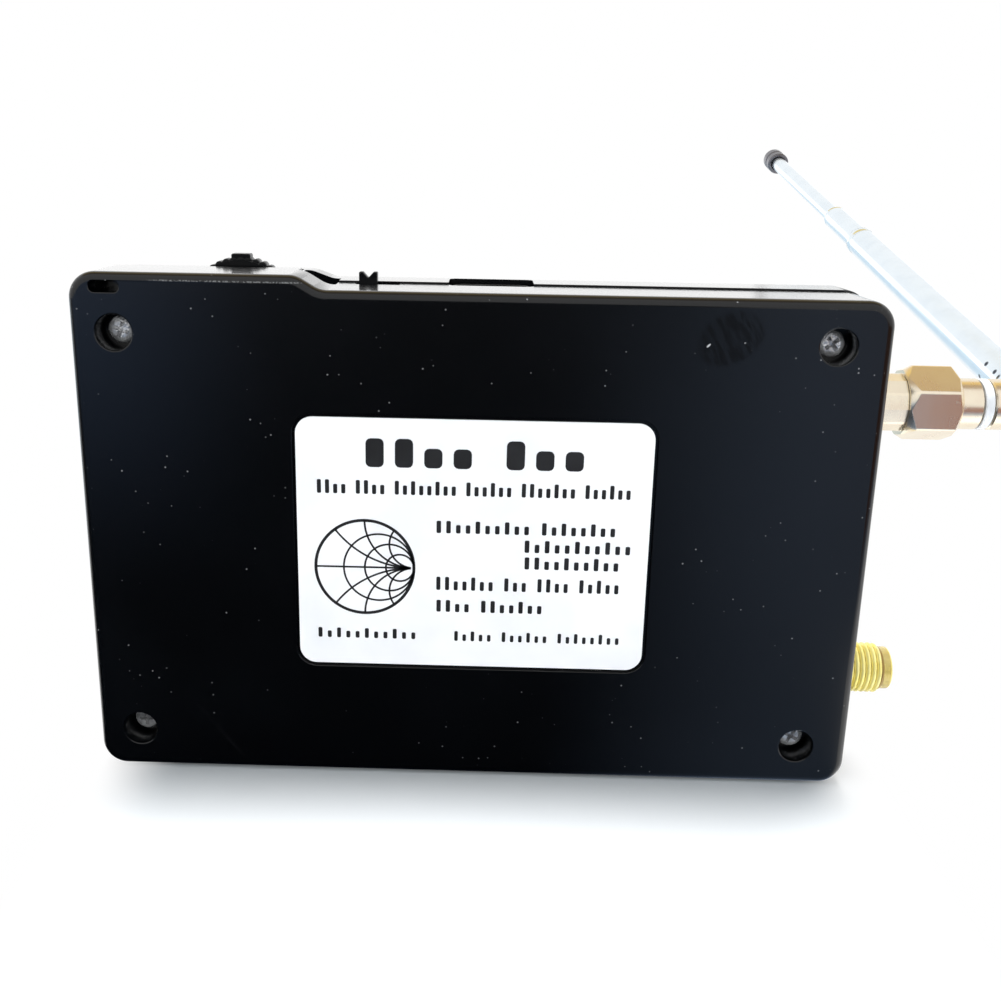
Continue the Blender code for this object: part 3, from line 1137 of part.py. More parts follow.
def telescopic_rod(frame):
    place = {"parent": frame, "location": (-PIVOT_REACH, 0, 0)}
    radius, inside = OUTER_TUBE_RADIUS, OUTER_TUBE_RADIUS - OUTER_TUBE_WALL
    cavity = OUTER_TUBE_START + OUTER_TUBE_PLUG
    outer_profile = [(OUTER_TUBE_START, 0), (OUTER_TUBE_START, radius - TUBE_END_ROUND),
                     (OUTER_TUBE_START + TUBE_END_ROUND, radius), (OUTER_TUBE_END - OUTER_TUBE_WALL, radius),
                     (OUTER_TUBE_END, radius - OUTER_TUBE_WALL / 2), (OUTER_TUBE_END, inside),
                     (cavity, inside), (cavity, 0)]
    outer = turned("outer_tube", outer_profile, **place)
    tongue_end = OUTER_TUBE_START + OUTER_TUBE_PLUG / 2
    eye = TONGUE_EYE_RADIUS
    neck = math.asin(min(TONGUE_HALF_WIDTH / eye, 1.0))
    outline = [(TONGUE_HALF_WIDTH, tongue_end), (-TONGUE_HALF_WIDTH, tongue_end)]
    for step in range(EYE_STEPS + 1):
        angle = QUARTER_TURN + neck + (math.tau - 2 * neck) * step / EYE_STEPS
        outline.append((eye * math.cos(angle), eye * math.sin(angle)))
    half = TONGUE_THICKNESS / 2
    tongue = prism("elbow_tongue", outline, -half, half, "Y", **place)
    pin_outline = disc_outline(0, 0, ELBOW_PIN_RADIUS + FINE_FIT)
    hole = prism("tongue_hole", pin_outline, -half - OVERRUN, half + OVERRUN, "Y", **place)
    work(outer, "UNION", tongue)
    work(outer, "DIFFERENCE", hole)
    bright_nickel(outer)
    radius, inside = MIDDLE_TUBE_RADIUS, MIDDLE_TUBE_RADIUS - MIDDLE_TUBE_WALL
    middle_profile = [(MIDDLE_TUBE_START, inside), (MIDDLE_TUBE_START, radius),
                      (MIDDLE_TUBE_END - TUBE_END_ROUND, radius),
                      (MIDDLE_TUBE_END, radius - TUBE_END_ROUND / 2), (MIDDLE_TUBE_END, inside)]
    bright_nickel(turned("middle_tube", middle_profile, **place))
    rod_end = TIP_START + TIP_SOCKET - FIT
    inside = INNER_ROD_RADIUS - INNER_ROD_WALL
    rod_profile = [(INNER_ROD_START, inside), (INNER_ROD_START, INNER_ROD_RADIUS),
                   (rod_end, INNER_ROD_RADIUS), (rod_end, inside)]
    bright_nickel(turned("inner_rod", rod_profile, SMALL_ROUND_STEPS, **place))
    socket = TIP_START + TIP_SOCKET
    socket_radius = INNER_ROD_RADIUS + FINE_FIT
    tip_profile = [(socket, 0), (socket, socket_radius), (TIP_START, socket_radius),
                   (TIP_START, TIP_RADIUS - TUBE_END_ROUND), (TIP_START + TUBE_END_ROUND, TIP_RADIUS)]
    dome = TIP_RADIUS / 2
    tip_end = TIP_START + TIP_LENGTH
    for step in range(DOME_STEPS):
        angle = QUARTER_TURN * step / DOME_STEPS
        tip_profile.append((tip_end - dome + dome * math.sin(angle), TIP_RADIUS * math.cos(angle)))
    tip_profile.append((tip_end, 0))
    tip = turned("tip_cap", tip_profile, SMALL_ROUND_STEPS, **place)
    return bright_nickel(tip)


def clear_scene():
    for item in list(bpy.data.objects):
        bpy.data.objects.remove(item)


def main():
    clear_scene()
    rear_shell()
    front_shell()
    rear_label()
    case_screws()
    main_board()
    chips()
    crystal_can()
    shield_cans()
    status_lamp()
    display_stack()
    battery()
    thumb_wheel()
    jog_carriage()
    jog_switch_body()
    power_switch()
    usb_socket()
    for label, height in zip(("upper", "lower"), PORT_HEIGHTS):
        port(label, height)
    rod_turn = math.degrees(QUARTER_TURN) - ROD_RISE_DEGREES
    antenna_frame = port_frame("antenna_frame", PORT_HEIGHTS[0], rod_turn)
    coupling_nut(antenna_frame)
    antenna_plug(antenna_frame)
    swivel_fork(antenna_frame)
    telescopic_rod(antenna_frame)


main()
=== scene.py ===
"""Finishes for a packed handheld vector network analyzer: case, label, controls, ports and antenna.

Metres, +Z up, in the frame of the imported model: the rear face looks along +Y and the ports along -X.
"""

import math

import bmesh
import bpy
import numpy as np
from bpy.props import FloatProperty, FloatVectorProperty, PointerProperty
from mathutils import Matrix, Vector


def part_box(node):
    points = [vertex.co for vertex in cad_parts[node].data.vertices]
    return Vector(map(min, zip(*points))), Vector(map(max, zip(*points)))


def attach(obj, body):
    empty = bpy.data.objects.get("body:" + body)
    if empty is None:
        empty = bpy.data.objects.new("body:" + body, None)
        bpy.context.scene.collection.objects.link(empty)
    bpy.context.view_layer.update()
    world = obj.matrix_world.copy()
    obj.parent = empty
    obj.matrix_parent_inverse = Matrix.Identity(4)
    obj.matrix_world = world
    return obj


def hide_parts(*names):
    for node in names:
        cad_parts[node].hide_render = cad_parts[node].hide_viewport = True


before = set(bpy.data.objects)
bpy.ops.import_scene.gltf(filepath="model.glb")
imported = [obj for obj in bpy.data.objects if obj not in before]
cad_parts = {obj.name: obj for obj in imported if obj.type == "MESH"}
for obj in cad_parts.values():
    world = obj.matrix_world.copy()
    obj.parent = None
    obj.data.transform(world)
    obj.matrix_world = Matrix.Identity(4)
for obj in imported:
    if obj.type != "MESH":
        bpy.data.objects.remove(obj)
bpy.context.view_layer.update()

bl_info = {
    "name": "Network analyzer finishes",
    "version": (1, 0, 0),
    "blender": (4, 5, 0),
    "location": "3D View > Sidebar > Analyzer",
    "description": "Builds the detailed outside of a handheld network analyzer round its packed model",
    "category": "Object",
}

# Case
REAR_LOW, REAR_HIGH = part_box("rear_shell")
FRONT_LOW, FRONT_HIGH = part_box("front_shell")
HALF_WIDTH = REAR_HIGH.x
REAR_FACE = REAR_HIGH.y
FRONT_FACE = FRONT_LOW.y
SEAM_DEPTH = REAR_FACE - REAR_LOW.y
CASE_THICKNESS = REAR_FACE - FRONT_FACE
RAISED_TOP = REAR_HIGH.z
FRONT_RAISED_TOP = FRONT_HIGH.z
CASE_HEIGHT = 0.0592
STEP_TOP_X = 0.0204
STEP_RUN = 0.0027
WALL = 0.0018
FRONT_WALL = 0.0012
LIP_HEIGHT = 0.0008
SEAM_GAP = 0.0003
LIP_CLEARANCE = 0.00015
SEAM_EASE = 0.00018
SMALLEST_BEND = 0.00015
OVERRUN = 0.0010
FRONT_PROUD = 0.00020
FRONT_SEAM_EASE = 0.00005

# Openings in the case
LABEL_CENTRE = (0.00025, 0.0298)
LABEL_RECESS = 0.00035
LABEL_MARGIN = 0.00035
LABEL_LOW, LABEL_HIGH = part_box("rear_label")
LABEL_RECESS_RADIUS = 0.00235
MOUTH_RADIUS = 0.00205
MOUTH_EASE = 0.00016
SCREW_HEAD_DEPTH = 0.00375
SCREW_HOLE_DEPTH = 0.0080
SCREW_HOLE_RADIUS = 0.00115
REAR_POST_RADIUS = 0.0030
FRONT_POST_RADIUS = 0.0025
FRONT_POST_DEPTH = 0.0099
PILOT_RADIUS = 0.0010
PILOT_DEPTHS = (0.0134, 0.0090)
SLOT_CENTRE = (0.0416, 0.0592)
SLOT_SIZE = (0.0033, 0.00125)
SLOT_REACH = 0.0042
SLOT_BAR = 0.0022
SWITCH_X = 0.01205
SWITCH_DEPTH = 0.0086
SWITCH_SLOT = (0.0051, 0.0018)
STEP_WINDOW_X = (0.0168, 0.0211)
STEP_WINDOW_DEPTHS = (0.0068, 0.0120)
USB_X = -0.00125
USB_DEPTH = 0.0115
USB_WINDOW = (0.0101, 0.0064, 0.0009)
USB_WINDOW_FLOOR = 0.05695
PORT_WINDOW_RADIUS = 0.0035
DISPLAY_WINDOW = (0.0612, 0.0439)
DISPLAY_CENTRE = (0.0, 0.02655)
WHEEL_WINDOW_HALF = 0.0073
WHEEL_WINDOW_DEPTH = 0.0129

# Controls
WHEEL_AXLE = (0.0287, 0.05505)
WHEEL_NEAR_DEPTH = 0.0102
WHEEL_DISC_END = 0.0108
WHEEL_FAR_DEPTH = 0.0126
WHEEL_CREST = 0.0068
WHEEL_ROOT = 0.00655
WHEEL_DISC = 0.00645
WHEEL_TAB = (0.0023, 0.00715)
WHEEL_HUB = 0.0016
WHEEL_TEETH = 23
TOOTH_SAMPLES = 16
WHEEL_BORE = 0.00105
WHEEL_SWEEP = math.radians(186)
KNOB_LOW, KNOB_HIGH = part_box("power_switch_slider")
KNOB_NOTCH = (0.00062, 0.0007)

# Print on the label; a row of words is its two ends' x, middle z, height, letters in each word, bar weight
CHART_CENTRE = (0.01286, 0.02697)
LABEL_WORDS = ((0.01332, -0.01291, 0.04091, 0.00340, (4, 3), 0.62),
               (0.01857, -0.01802, 0.03680, 0.00165, (4, 4, 8, 6, 7, 6), 0.5),
               (0.00477, -0.01656, 0.03217, 0.00150, (10, 8), 0.46),
               (-0.00553, -0.01843, 0.02999, 0.00150, (11,), 0.46),
               (-0.00559, -0.01715, 0.02792, 0.00150, (10,), 0.46),
               (0.00470, -0.01729, 0.02516, 0.00165, (7, 3, 4, 5), 0.46),
               (0.00468, -0.00836, 0.02232, 0.00150, (4, 7), 0.46),
               (0.01881, 0.00656, 0.01857, 0.00125, (11,), 0.42),
               (0.00249, -0.01766, 0.01849, 0.00125, (5, 6, 8), 0.42))

# Case screws; the head's profile is (height over the head, radius), the cross is (span, width, height)
SCREW_PROFILE = ((0.0, 0.0), (0.0, 0.00095), (-0.00018, 0.00138), (-0.0005, 0.00160), (-0.0011, 0.00160),
                 (-0.0011, 0.00085), (-0.0093, 0.00085), (-0.0101, 0.0003), (-0.0101, 0.0))
SCREW_CROSS = ((0.0019, 0.00052, 0.0002), (0.00175, 0.00046, -0.00005), (0.0007, 0.00030, -0.0008))
FIRST_CROSS_TURN = 0.5

# Ports and antenna; a reach is a distance out from the case's side face
PORT_Y = -0.0008
UPPER_PORT_Z = 0.0463
LOWER_PORT_Z = 0.0117
JACK_FOOT = -0.0030
JACK_REACH = 0.0070
JACK_LIP = 0.0011
JACK_LIP_RADIUS = 0.00265
JACK_ROOT = 0.0027
JACK_CREST = 0.003125
JACK_BORE = 0.0023
JACK_BORE_ENDS = (0.0005, 0.0050)
JACK_FACE = 0.0050
FLANGE_SIZE = 0.0064
FLANGE_PLACES = (0.00355, 0.00195)
PRONG_SIZE = (0.0008, 0.0012)
PRONG_ROW = 0.0044
PRONG_SPACING = 0.0030
PRONG_PLACES = (0.0030, 0.00705)
NUT_NEAR = 0.0006
NUT_HEX = 0.0045
NUT_FAR = 0.01055
NUT_SKIRT = 0.0035
NUT_INSIDE = 0.003275
NUT_LIP = (0.00995, 0.0028)
NUT_CORNER_EASE = 0.00045
NUT_NEAR_DIP = 0.0010
NUT_FAR_DIP = 0.0006
PIVOT_REACH = 0.02065
FORK_REACH = 0.0148
FORK_BORE_END = 0.01595
FORK_FLOOR = 0.01775
FORK_RADIUS = 0.00304
FORK_DOME = 0.00302
FORK_SLOT_HALF = 0.00115
PIN_RADIUS = 0.0006
PIN_HOLE_RADIUS = PIN_RADIUS + 0.00015
ROD_RISE = math.radians(12.5)
ROD_RADIUS = 0.0024
ROD_AXIS = np.array((0.0, -math.cos(ROD_RISE), math.sin(ROD_RISE)))
ROD_ACROSS = np.array((0.0, math.sin(ROD_RISE), math.cos(ROD_RISE)))
PIVOT = np.array((-HALF_WIDTH - PIVOT_REACH, PORT_Y, UPPER_PORT_Z))

# Painted shade in the metal: darkened thread valleys and dark spots at the crimp dents; a dent is its reach
# along the rod and its angle round it in degrees
THREAD_VALLEY_SHADE = (0.24, 0.12, 0.02)
DENT_SHADE = (0.05, 0.06, 0.08)
CRIMP_DENTS = ((0.0099, 30.0), (0.0073, 30.0), (0.0104, -19.0))

# Stage
SKY_COLOUR = (0.86, 0.95, 1.0, 1.0)
SENSOR_WIDTH = 36.0
LENS = 38.58
LENS_SHIFT = (0.0359, -0.0386)
CLIP_START = 0.005
CAMERA_X = -0.0011
CAMERA_DISTANCE = 0.1183
CAMERA_FORWARD = (0.0199, -0.9651, -0.2612)
CAMERA_UP = (0.0226, -0.2607, 0.9651)

# Faceting
ARC_STEPS = 14
ROUND_STEPS = 96
ROD_STEPS = 48
EASE_STEPS = 4
SHARP_EDGE = math.radians(32)
THREAD_SHARP_EDGE = math.radians(50)
LARGE_FACE = 4e-6
MERGE_DISTANCE = 1e-7
NOISE_ROUGHNESS = 0.55


# Shapes

def linked(name, data):
    """A new object in the scene."""
    item = bpy.data.objects.new(name, data)
    bpy.context.scene.collection.objects.link(item)
    return item


def prepared(mesh, tidied=False):
    """The mesh with doubled points merged, its faces outward and, if asked, its degenerate faces gone."""
    shell = bmesh.new()
    shell.from_mesh(mesh)
    bmesh.ops.remove_doubles(shell, verts=shell.verts, dist=MERGE_DISTANCE)
    if tidied:
        bmesh.ops.dissolve_degenerate(shell, edges=shell.edges, dist=MERGE_DISTANCE)
    bmesh.ops.recalc_face_normals(shell, faces=shell.faces)
    shell.to_mesh(mesh)
    shell.free()
    return mesh


def painted(mesh, material):
    """Give a mesh this finish alone."""
    mesh.materials.clear()
    mesh.materials.append(material)


def finished(name, mesh, body, material, replaced=None, sharp=SHARP_EDGE):
    """Link a mesh as a piece of the object: faces outward, smooth between sharp edges, riding on its body.

    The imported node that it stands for, if any, is replaced."""
    prepared(mesh, tidied=True)
    mesh.name = name
    mesh.shade_smooth()
    mesh.set_sharp_from_angle(angle=sharp)
    frame_flats(mesh)
    painted(mesh, material)
    item = linked(name, mesh)
    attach(item, body)
    if replaced:
        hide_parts(replaced)


def frame_flats(mesh):
    """Mark the edges round every large flat face sharp, so that no rounding shades it."""
    edges = np.zeros(len(mesh.edges), dtype=bool)
    for face in mesh.polygons:
        if face.area > LARGE_FACE:
            edges[[mesh.loops[corner].edge_index for corner in face.loop_indices]] = True
    marked = np.zeros(len(edges), dtype=bool)
    sharp = mesh.attributes.get("sharp_edge") or mesh.attributes.new("sharp_edge", "BOOLEAN", "EDGE")
    sharp.data.foreach_get("value", marked)
    sharp.data.foreach_set("value", marked | edges)


def skin(grid, wrap_rows=False, caps=True):
    """A closed mesh over a grid of points: row after row of rings, each ring closed on itself.

    Square faces join each ring to the next. The two end rings are capped, or joined to each other."""
    rows, columns = grid.shape[:2]
    index = np.arange(rows * columns).reshape(rows, columns)
    near = index if wrap_rows else index[:-1]
    far = np.roll(index, -1, axis=0) if wrap_rows else index[1:]
    corners = (near, np.roll(near, -1, axis=1), np.roll(far, -1, axis=1), far)
    faces = np.stack(corners, axis=-1).reshape(-1, 4).tolist()
    if caps and not wrap_rows:
        faces.append(index[0][::-1].tolist())
        faces.append(index[-1].tolist())
    mesh = bpy.data.meshes.new("skin")
    mesh.from_pydata(grid.reshape(-1, 3).tolist(), [], faces)
    return mesh


def turned(profile, origin, axis, side, steps=ROUND_STEPS):
    """A turned mesh: origin + axis * s + r * (side * cos a + (axis x side) * sin a), for each (s, r).

    A profile that starts off the axis is closed on itself."""
    profile = np.array(profile)
    origin, axis, side = (np.array(vector, float) for vector in (origin, axis, side))
    other = np.cross(axis, side)
    angle = np.linspace(0, math.tau, steps, endpoint=False)
    spoke = np.cos(angle)[:, None] * side + np.sin(angle)[:, None] * other
    along = origin + profile[:, 0, None] * axis
    grid = along[:, None, :] + profile[:, 1, None, None] * spoke[None, :, :]
    return skin(grid, wrap_rows=profile[0, 1] > 0, caps=False)


def on_port(profile, height, steps=ROUND_STEPS):
    """A turned mesh about a port's axis, with its profile as (reach, radius) points."""
    return turned(profile, (-HALF_WIDTH, PORT_Y, height), (-1, 0, 0), (0, 1, 0), steps)


def on_rod(profile):
    """A turned mesh about the telescopic rod's axis, from the elbow outwards."""
    return turned(profile, PIVOT, ROD_AXIS, (1, 0, 0), ROD_STEPS)


def eased(points, radius):
    """The same open (s, r) profile with each inner corner rounded: a quadratic curve between two points that
    lie the radius, or at most a third of the side, from the corner."""
    points = np.array(points, float)
    corner, before, after = points[1:-1], points[:-2], points[2:]
    reach_in = np.linalg.norm(before - corner, axis=1, keepdims=True)
    reach_out = np.linalg.norm(after - corner, axis=1, keepdims=True)
    start = corner + (before - corner) * np.minimum(radius / reach_in, 1 / 3)
    end = corner + (after - corner) * np.minimum(radius / reach_out, 1 / 3)
    t = np.linspace(0, 1, EASE_STEPS + 1)[None, :, None]
    curve = (1 - t) ** 2 * start[:, None] + 2 * t * (1 - t) * corner[:, None] + t ** 2 * end[:, None]
    return np.concatenate([points[:1], curve.reshape(-1, 2), points[-1:]])


def outline(corners, inset=0.0, steps=ARC_STEPS):
    """Points round a filleted polygon moved inwards by inset; corners are (x, z, radius), anticlockwise.

    Each fillet is its centre plus its first spoke turned evenly through the corner's angle."""
    corners = np.array(corners, float)
    places, radii = corners[:, :2], corners[:, 2]
    leaving = np.roll(places, -1, axis=0) - places
    leaving /= np.linalg.norm(leaving, axis=1, keepdims=True)
    arriving = np.roll(leaving, 1, axis=0)
    starts = places + inset * np.stack([-leaving[:, 1], leaving[:, 0]], axis=1)
    before = np.roll(starts, 1, axis=0)
    crossed = arriving[:, 0] * leaving[:, 1] - arriving[:, 1] * leaving[:, 0]
    turn = np.arctan2(crossed, (arriving * leaving).sum(axis=1))
    side = np.sign(turn)
    bend = np.maximum(radii - side * inset, SMALLEST_BEND)
    gap = starts - before
    reach = (gap[:, 0] * leaving[:, 1] - gap[:, 1] * leaving[:, 0]) / crossed
    first = before + arriving * (reach - bend * np.tan(np.abs(turn) / 2))[:, None]
    centre = first + (side * bend)[:, None] * np.stack([-arriving[:, 1], arriving[:, 0]], axis=1)
    spoke = first - centre
    angle = turn[:, None] * np.linspace(0, 1, steps + 1)
    x = centre[:, :1] + spoke[:, :1] * np.cos(angle) - spoke[:, 1:] * np.sin(angle)
    z = centre[:, 1:] + spoke[:, :1] * np.sin(angle) + spoke[:, 1:] * np.cos(angle)
    return np.stack([x.ravel(), z.ravel()], axis=1)


def rounded_box(centre, size, radius, grow=0.0, steps=ARC_STEPS):
    """Points round a rectangle with filleted corners, grown on all sides."""
    half = np.array(size) / 2 + grow
    low, high = np.array(centre) - half, np.array(centre) + half
    bend = radius + grow
    corners = ((low[0], low[1]), (high[0], low[1]), (high[0], high[1]), (low[0], high[1]))
    return outline([(*corner, bend) for corner in corners], steps=steps)


def ring(centre, radius, steps=ROUND_STEPS):
    """Points round a circle."""
    angle = np.linspace(0, math.tau, steps, endpoint=False)
    return np.array(centre) + radius * np.stack([np.cos(angle), np.sin(angle)], axis=1)


def lofted(sections, axis="Y"):
    """A mesh through flat outlines, each with its place along an axis."""
    rows = []
    for points, along in sections:
        level = np.full(len(points), along)
        columns = {"X": (level, points[:, 0], points[:, 1]),
                   "Y": (points[:, 0], level, points[:, 1]),
                   "Z": (points[:, 0], points[:, 1], level)}[axis]
        rows.append(np.stack(columns, axis=1))
    return skin(np.array(rows))


def prism(points, start, end, axis="Y"):
    """A mesh with the same flat outline at both of its ends."""
    return lofted([(points, start), (points, end)], axis)


def solid_box(low, high):
    """A plain box between two corners."""
    low, high = np.array(low, float), np.array(high, float)
    square = np.array([(low[0], low[2]), (high[0], low[2]), (high[0], high[2]), (low[0], high[2])])
    return prism(square, low[1], high[1])


def block(across, depths, heights):
    """A plain box between two x's, two depths behind the rear face and two heights, each the lesser first."""
    low = (across[0], at_depth(depths[1]), heights[0])
    high = (across[1], at_depth(depths[0]), heights[1])
    return solid_box(low, high)


def eased_ends(start, end, ease):
    """(inset, place) steps from start to end that round both end edges over a small distance."""
    return ((ease, start), (ease * 0.3, start + ease * 0.3), (0.0, start + ease),
            (0.0, end - ease), (ease * 0.3, end - ease * 0.3), (ease, end))


def carved(mesh, add=(), cut=()):
    """The mesh with some meshes added, then others cut away, worked out exactly and applied."""
    body = linked("carving", prepared(mesh))
    tools = [linked("tool", prepared(other)) for other in (*add, *cut)]
    for number, tool in enumerate(tools):
        step = body.modifiers.new("step", "BOOLEAN")
        step.operation = "UNION" if number < len(add) else "DIFFERENCE"
        step.solver = "EXACT"
        step.object = tool
    bpy.context.view_layer.update()
    graph = bpy.context.evaluated_depsgraph_get()
    result = bpy.data.meshes.new_from_object(body.evaluated_get(graph))
    for item in (body, *tools):
        bpy.data.objects.remove(item)
    return result


def at_depth(depth):
    """The Y of a plane this deep behind the rear face."""
    return REAR_FACE - depth


# Materials

def arithmetic(operation, swapped=False):
    """A method of a signal that adds a Math node for it and another signal or number."""
    def apply(self, other):
        return self.math(operation, other, self) if swapped else self.math(operation, self, other)
    return apply


class Signal:
    """A node's output; arithmetic on signals and numbers adds Math nodes to the same tree."""

    def __init__(self, tree, socket):
        self.tree = tree
        self.socket = socket

    def math(self, operation, *operands):
        return self.tree.node("ShaderNodeMath", {"operation": operation}, dict(enumerate(operands)))

    __add__, __radd__ = arithmetic("ADD"), arithmetic("ADD", swapped=True)
    __sub__, __rsub__ = arithmetic("SUBTRACT"), arithmetic("SUBTRACT", swapped=True)
    __mul__, __rmul__ = arithmetic("MULTIPLY"), arithmetic("MULTIPLY", swapped=True)
    __truediv__, __pow__ = arithmetic("DIVIDE"), arithmetic("POWER")

    def above(self, low, high):
        """0 below low, 1 above high, and a smooth step between them."""
        inputs = {"Value": self, "From Min": low, "From Max": high}
        return self.tree.node("ShaderNodeMapRange", {"interpolation_type": "SMOOTHSTEP"}, inputs)

    def below(self, low, high):
        """1 below low, 0 above high, and a smooth step between them."""
        return 1.0 - self.above(low, high)

    def within(self, low, high, soft):
        """1 between low and high, easing to 0 over the soft distance outside them."""
        return self.above(low - soft, low) * self.below(high, high + soft)


class Tree:
    """A node tree, whose nodes all come from one method."""

    def __init__(self, node_tree):
        self.nodes, self.links = node_tree.nodes, node_tree.links

    def node(self, kind, settings=None, inputs=None, output=0):
        """Add a node: its settings first, then the values or links of its sockets."""
        node = self.nodes.new(kind)
        for name, value in (settings or {}).items():
            setattr(node, name, value)
        for key, value in (inputs or {}).items():
            self.plug(node.inputs[key], value)
        return Signal(self, node.outputs[output]) if node.outputs else None

    def plug(self, socket, value):
        if isinstance(value, Signal):
            self.links.new(value.socket, socket)
        else:
            socket.default_value = value

    def seen_plainly(self):
        """1 for rays from the camera, a mirror or glass, so that all of them show the same background."""
        outputs = self.node("ShaderNodeLightPath").socket.node.outputs
        camera, glossy, through = (Signal(self, outputs[name]) for name in
                                   ("Is Camera Ray", "Is Glossy Ray", "Is Transmission Ray"))
        return camera.math("MAXIMUM", camera, glossy.math("MAXIMUM", glossy, through))


class Finish(Tree):
    """A material under construction, with its Principled shader."""

    def __init__(self, name, colour, roughness, metallic=0.0, **constants):
        self.material = bpy.data.materials.new(name)
        self.material.use_nodes = True
        super().__init__(self.material.node_tree)
        self.shader = self.nodes["Principled BSDF"]
        self.material.diffuse_color = (*colour, 1.0)
        self.feed(**{"Base Color": (*colour, 1.0), "Roughness": roughness, "Metallic": metallic})
        self.feed(**{words.replace("_", " "): value for words, value in constants.items()})

    def feed(self, **sockets):
        """Set or link sockets of the shader, by their names."""
        for name, value in sockets.items():
            self.plug(self.shader.inputs[name], value)

    def place(self, scale=(1, 1, 1), centre=(0, 0, 0), turn=(0, 0, 0)):
        """Object coordinates, moved to a centre, turned and scaled."""
        inputs = {"Vector": self.node("ShaderNodeTexCoord", output="Object"), "Location": centre,
                  "Rotation": turn, "Scale": tuple(1 / part for part in scale)}
        return self.node("ShaderNodeMapping", {"vector_type": "TEXTURE"}, inputs)

    def axes(self, centre=(0, 0, 0), turn=(0, 0, 0)):
        """The three coordinates about a centre, as signals."""
        split = self.node("ShaderNodeSeparateXYZ", {}, {0: self.place(centre=centre, turn=turn)})
        return [Signal(self, socket) for socket in split.socket.node.outputs]

    def noise(self, scale, detail=3.0, stretch=(1, 1, 1), turn=(0, 0, 0)):
        """Noise between 0 and 1 whose grains are 1 / scale across, stretched along the axes."""
        inputs = {"Vector": self.place(scale=stretch, turn=turn), "Scale": scale, "Detail": detail,
                  "Roughness": NOISE_ROUGHNESS}
        return self.node("ShaderNodeTexNoise", {}, inputs)

    def cells(self, scale):
        """Distance to the nearest of scattered points."""
        return self.node("ShaderNodeTexVoronoi", {}, {"Vector": self.place(), "Scale": scale})

    def oval(self, centre, turn, half_width, half_height, inner, outer):
        """1 inside an ellipse on the rear face, easing to 0 between two shares of its square."""
        x, _, z = self.axes(centre=(centre[0], 0.0, centre[1]), turn=(0, turn, 0))
        return (x * x / half_width ** 2 + z * z / half_height ** 2).below(inner, outer)

    def mix(self, first, second, factor):
        """A colour between two, as the factor goes from 0 to 1."""
        inputs = {0: factor, 6: opaque(first), 7: opaque(second)}
        return self.node("ShaderNodeMix", {"data_type": "RGBA"}, inputs, output=2)

    def bump(self, height, depth, strength=1.0):
        """A normal tilted by a height signal whose full swing is depth metres."""
        inputs = {"Height": height, "Distance": depth, "Strength": strength}
        return self.node("ShaderNodeBump", {}, inputs)


def opaque(colour):
    """A colour with its alpha, or the signal it is."""
    return colour if isinstance(colour, Signal) else (*tuple(colour)[:3], 1.0)


def hairlines(finish, scale, turn, share):
    """Thin stray scratches: where a noise drawn out long in one direction peaks."""
    long_noise = finish.noise(scale, detail=2.0, stretch=(1.0, 1.0, 0.035), turn=turn)
    broken = finish.noise(scale * 0.12, detail=1.0).above(0.52, 0.6)
    return long_noise.above(1.0 - share, 1.0 - share * 0.55) * broken


def black_moulding(name, settings, gloss=1.0, marked=False):
    """Semi-gloss black moulded plastic with dust and faint scratches; on the rear half, a smear, a fleck, and
    a painted highlight on the round of the raised top's rear edge and on the round of the upper port-side
    corner.
    """
    finish = Finish(name, settings.plastic_colour, settings.plastic_roughness, Specular_IOR_Level=0.12,
                    Coat_Weight=gloss, Coat_Roughness=0.13, Coat_IOR=1.4)
    cloud = finish.noise(38.0, detail=2.0)
    base = finish.mix(settings.plastic_colour, settings.plastic_tint, cloud.above(0.35, 0.75))
    grain = finish.noise(5200.0, detail=2.0)
    dust = finish.cells(760.0).below(0.045, 0.095) * finish.noise(160.0, detail=2.0).above(0.47, 0.6)
    scratches = hairlines(finish, 420.0, (0, 0.7, 0), 0.3) + hairlines(finish, 380.0, (0, -0.5, 0.1), 0.28)
    marks = (dust + scratches * 0.04) * settings.dust
    roughness = settings.plastic_roughness - 0.06 + grain * 0.1 + cloud * 0.06
    if marked:
        x, y, z = finish.axes()
        # Painted highlight: pale grey, broken up by noise, on the round along the raised top's rear edge and
        # on the upper port-side corner's round, where light catches them
        painted_edge_highlight = x.within(0.0205, 0.0345, 0.003) * z.within(0.05993, 0.06004, 0.00005) * y.above(0.0076, 0.0078)
        painted_edge_highlight = painted_edge_highlight * finish.noise(4600.0, detail=3.0).above(0.40, 0.62)
        corner = x.below(-0.0395, -0.0380) * z.above(0.0576, 0.0584) * y.above(0.0074, 0.0078)
        painted_corner_highlight = corner * finish.noise(1900.0).above(0.6, 0.75)
        oval = finish.oval((-0.0278, 0.0548), 0.5, 0.0042, 0.0031, 0.6, 1.0)
        fleck = finish.oval((-0.0254, 0.0540), 0.8, 0.00030, 0.00012, 0.5, 1.2)
        ridges = finish.noise(1500.0, detail=1.0, stretch=(1, 1, 0.25), turn=(0, 0.5, 0)).above(0.4, 0.6)
        smear = oval * (0.25 + 0.75 * ridges) * y.above(0.0078, 0.00795)
        base = finish.mix(base, settings.edge_highlight_colour, painted_edge_highlight * 0.34 + painted_corner_highlight * 0.12)
        marks = marks * y.above(0.0070, 0.0078)
        roughness = roughness + smear * 0.1
        finish.feed(**{"Coat Weight": gloss - smear * 0.65})
        marks = marks + fleck * 0.8
    base = finish.mix(base, settings.dust_colour, marks)
    finish.feed(**{"Base Color": base, "Roughness": roughness,
                   "Normal": finish.bump(grain, 0.000004, 0.35)})
    return finish.material


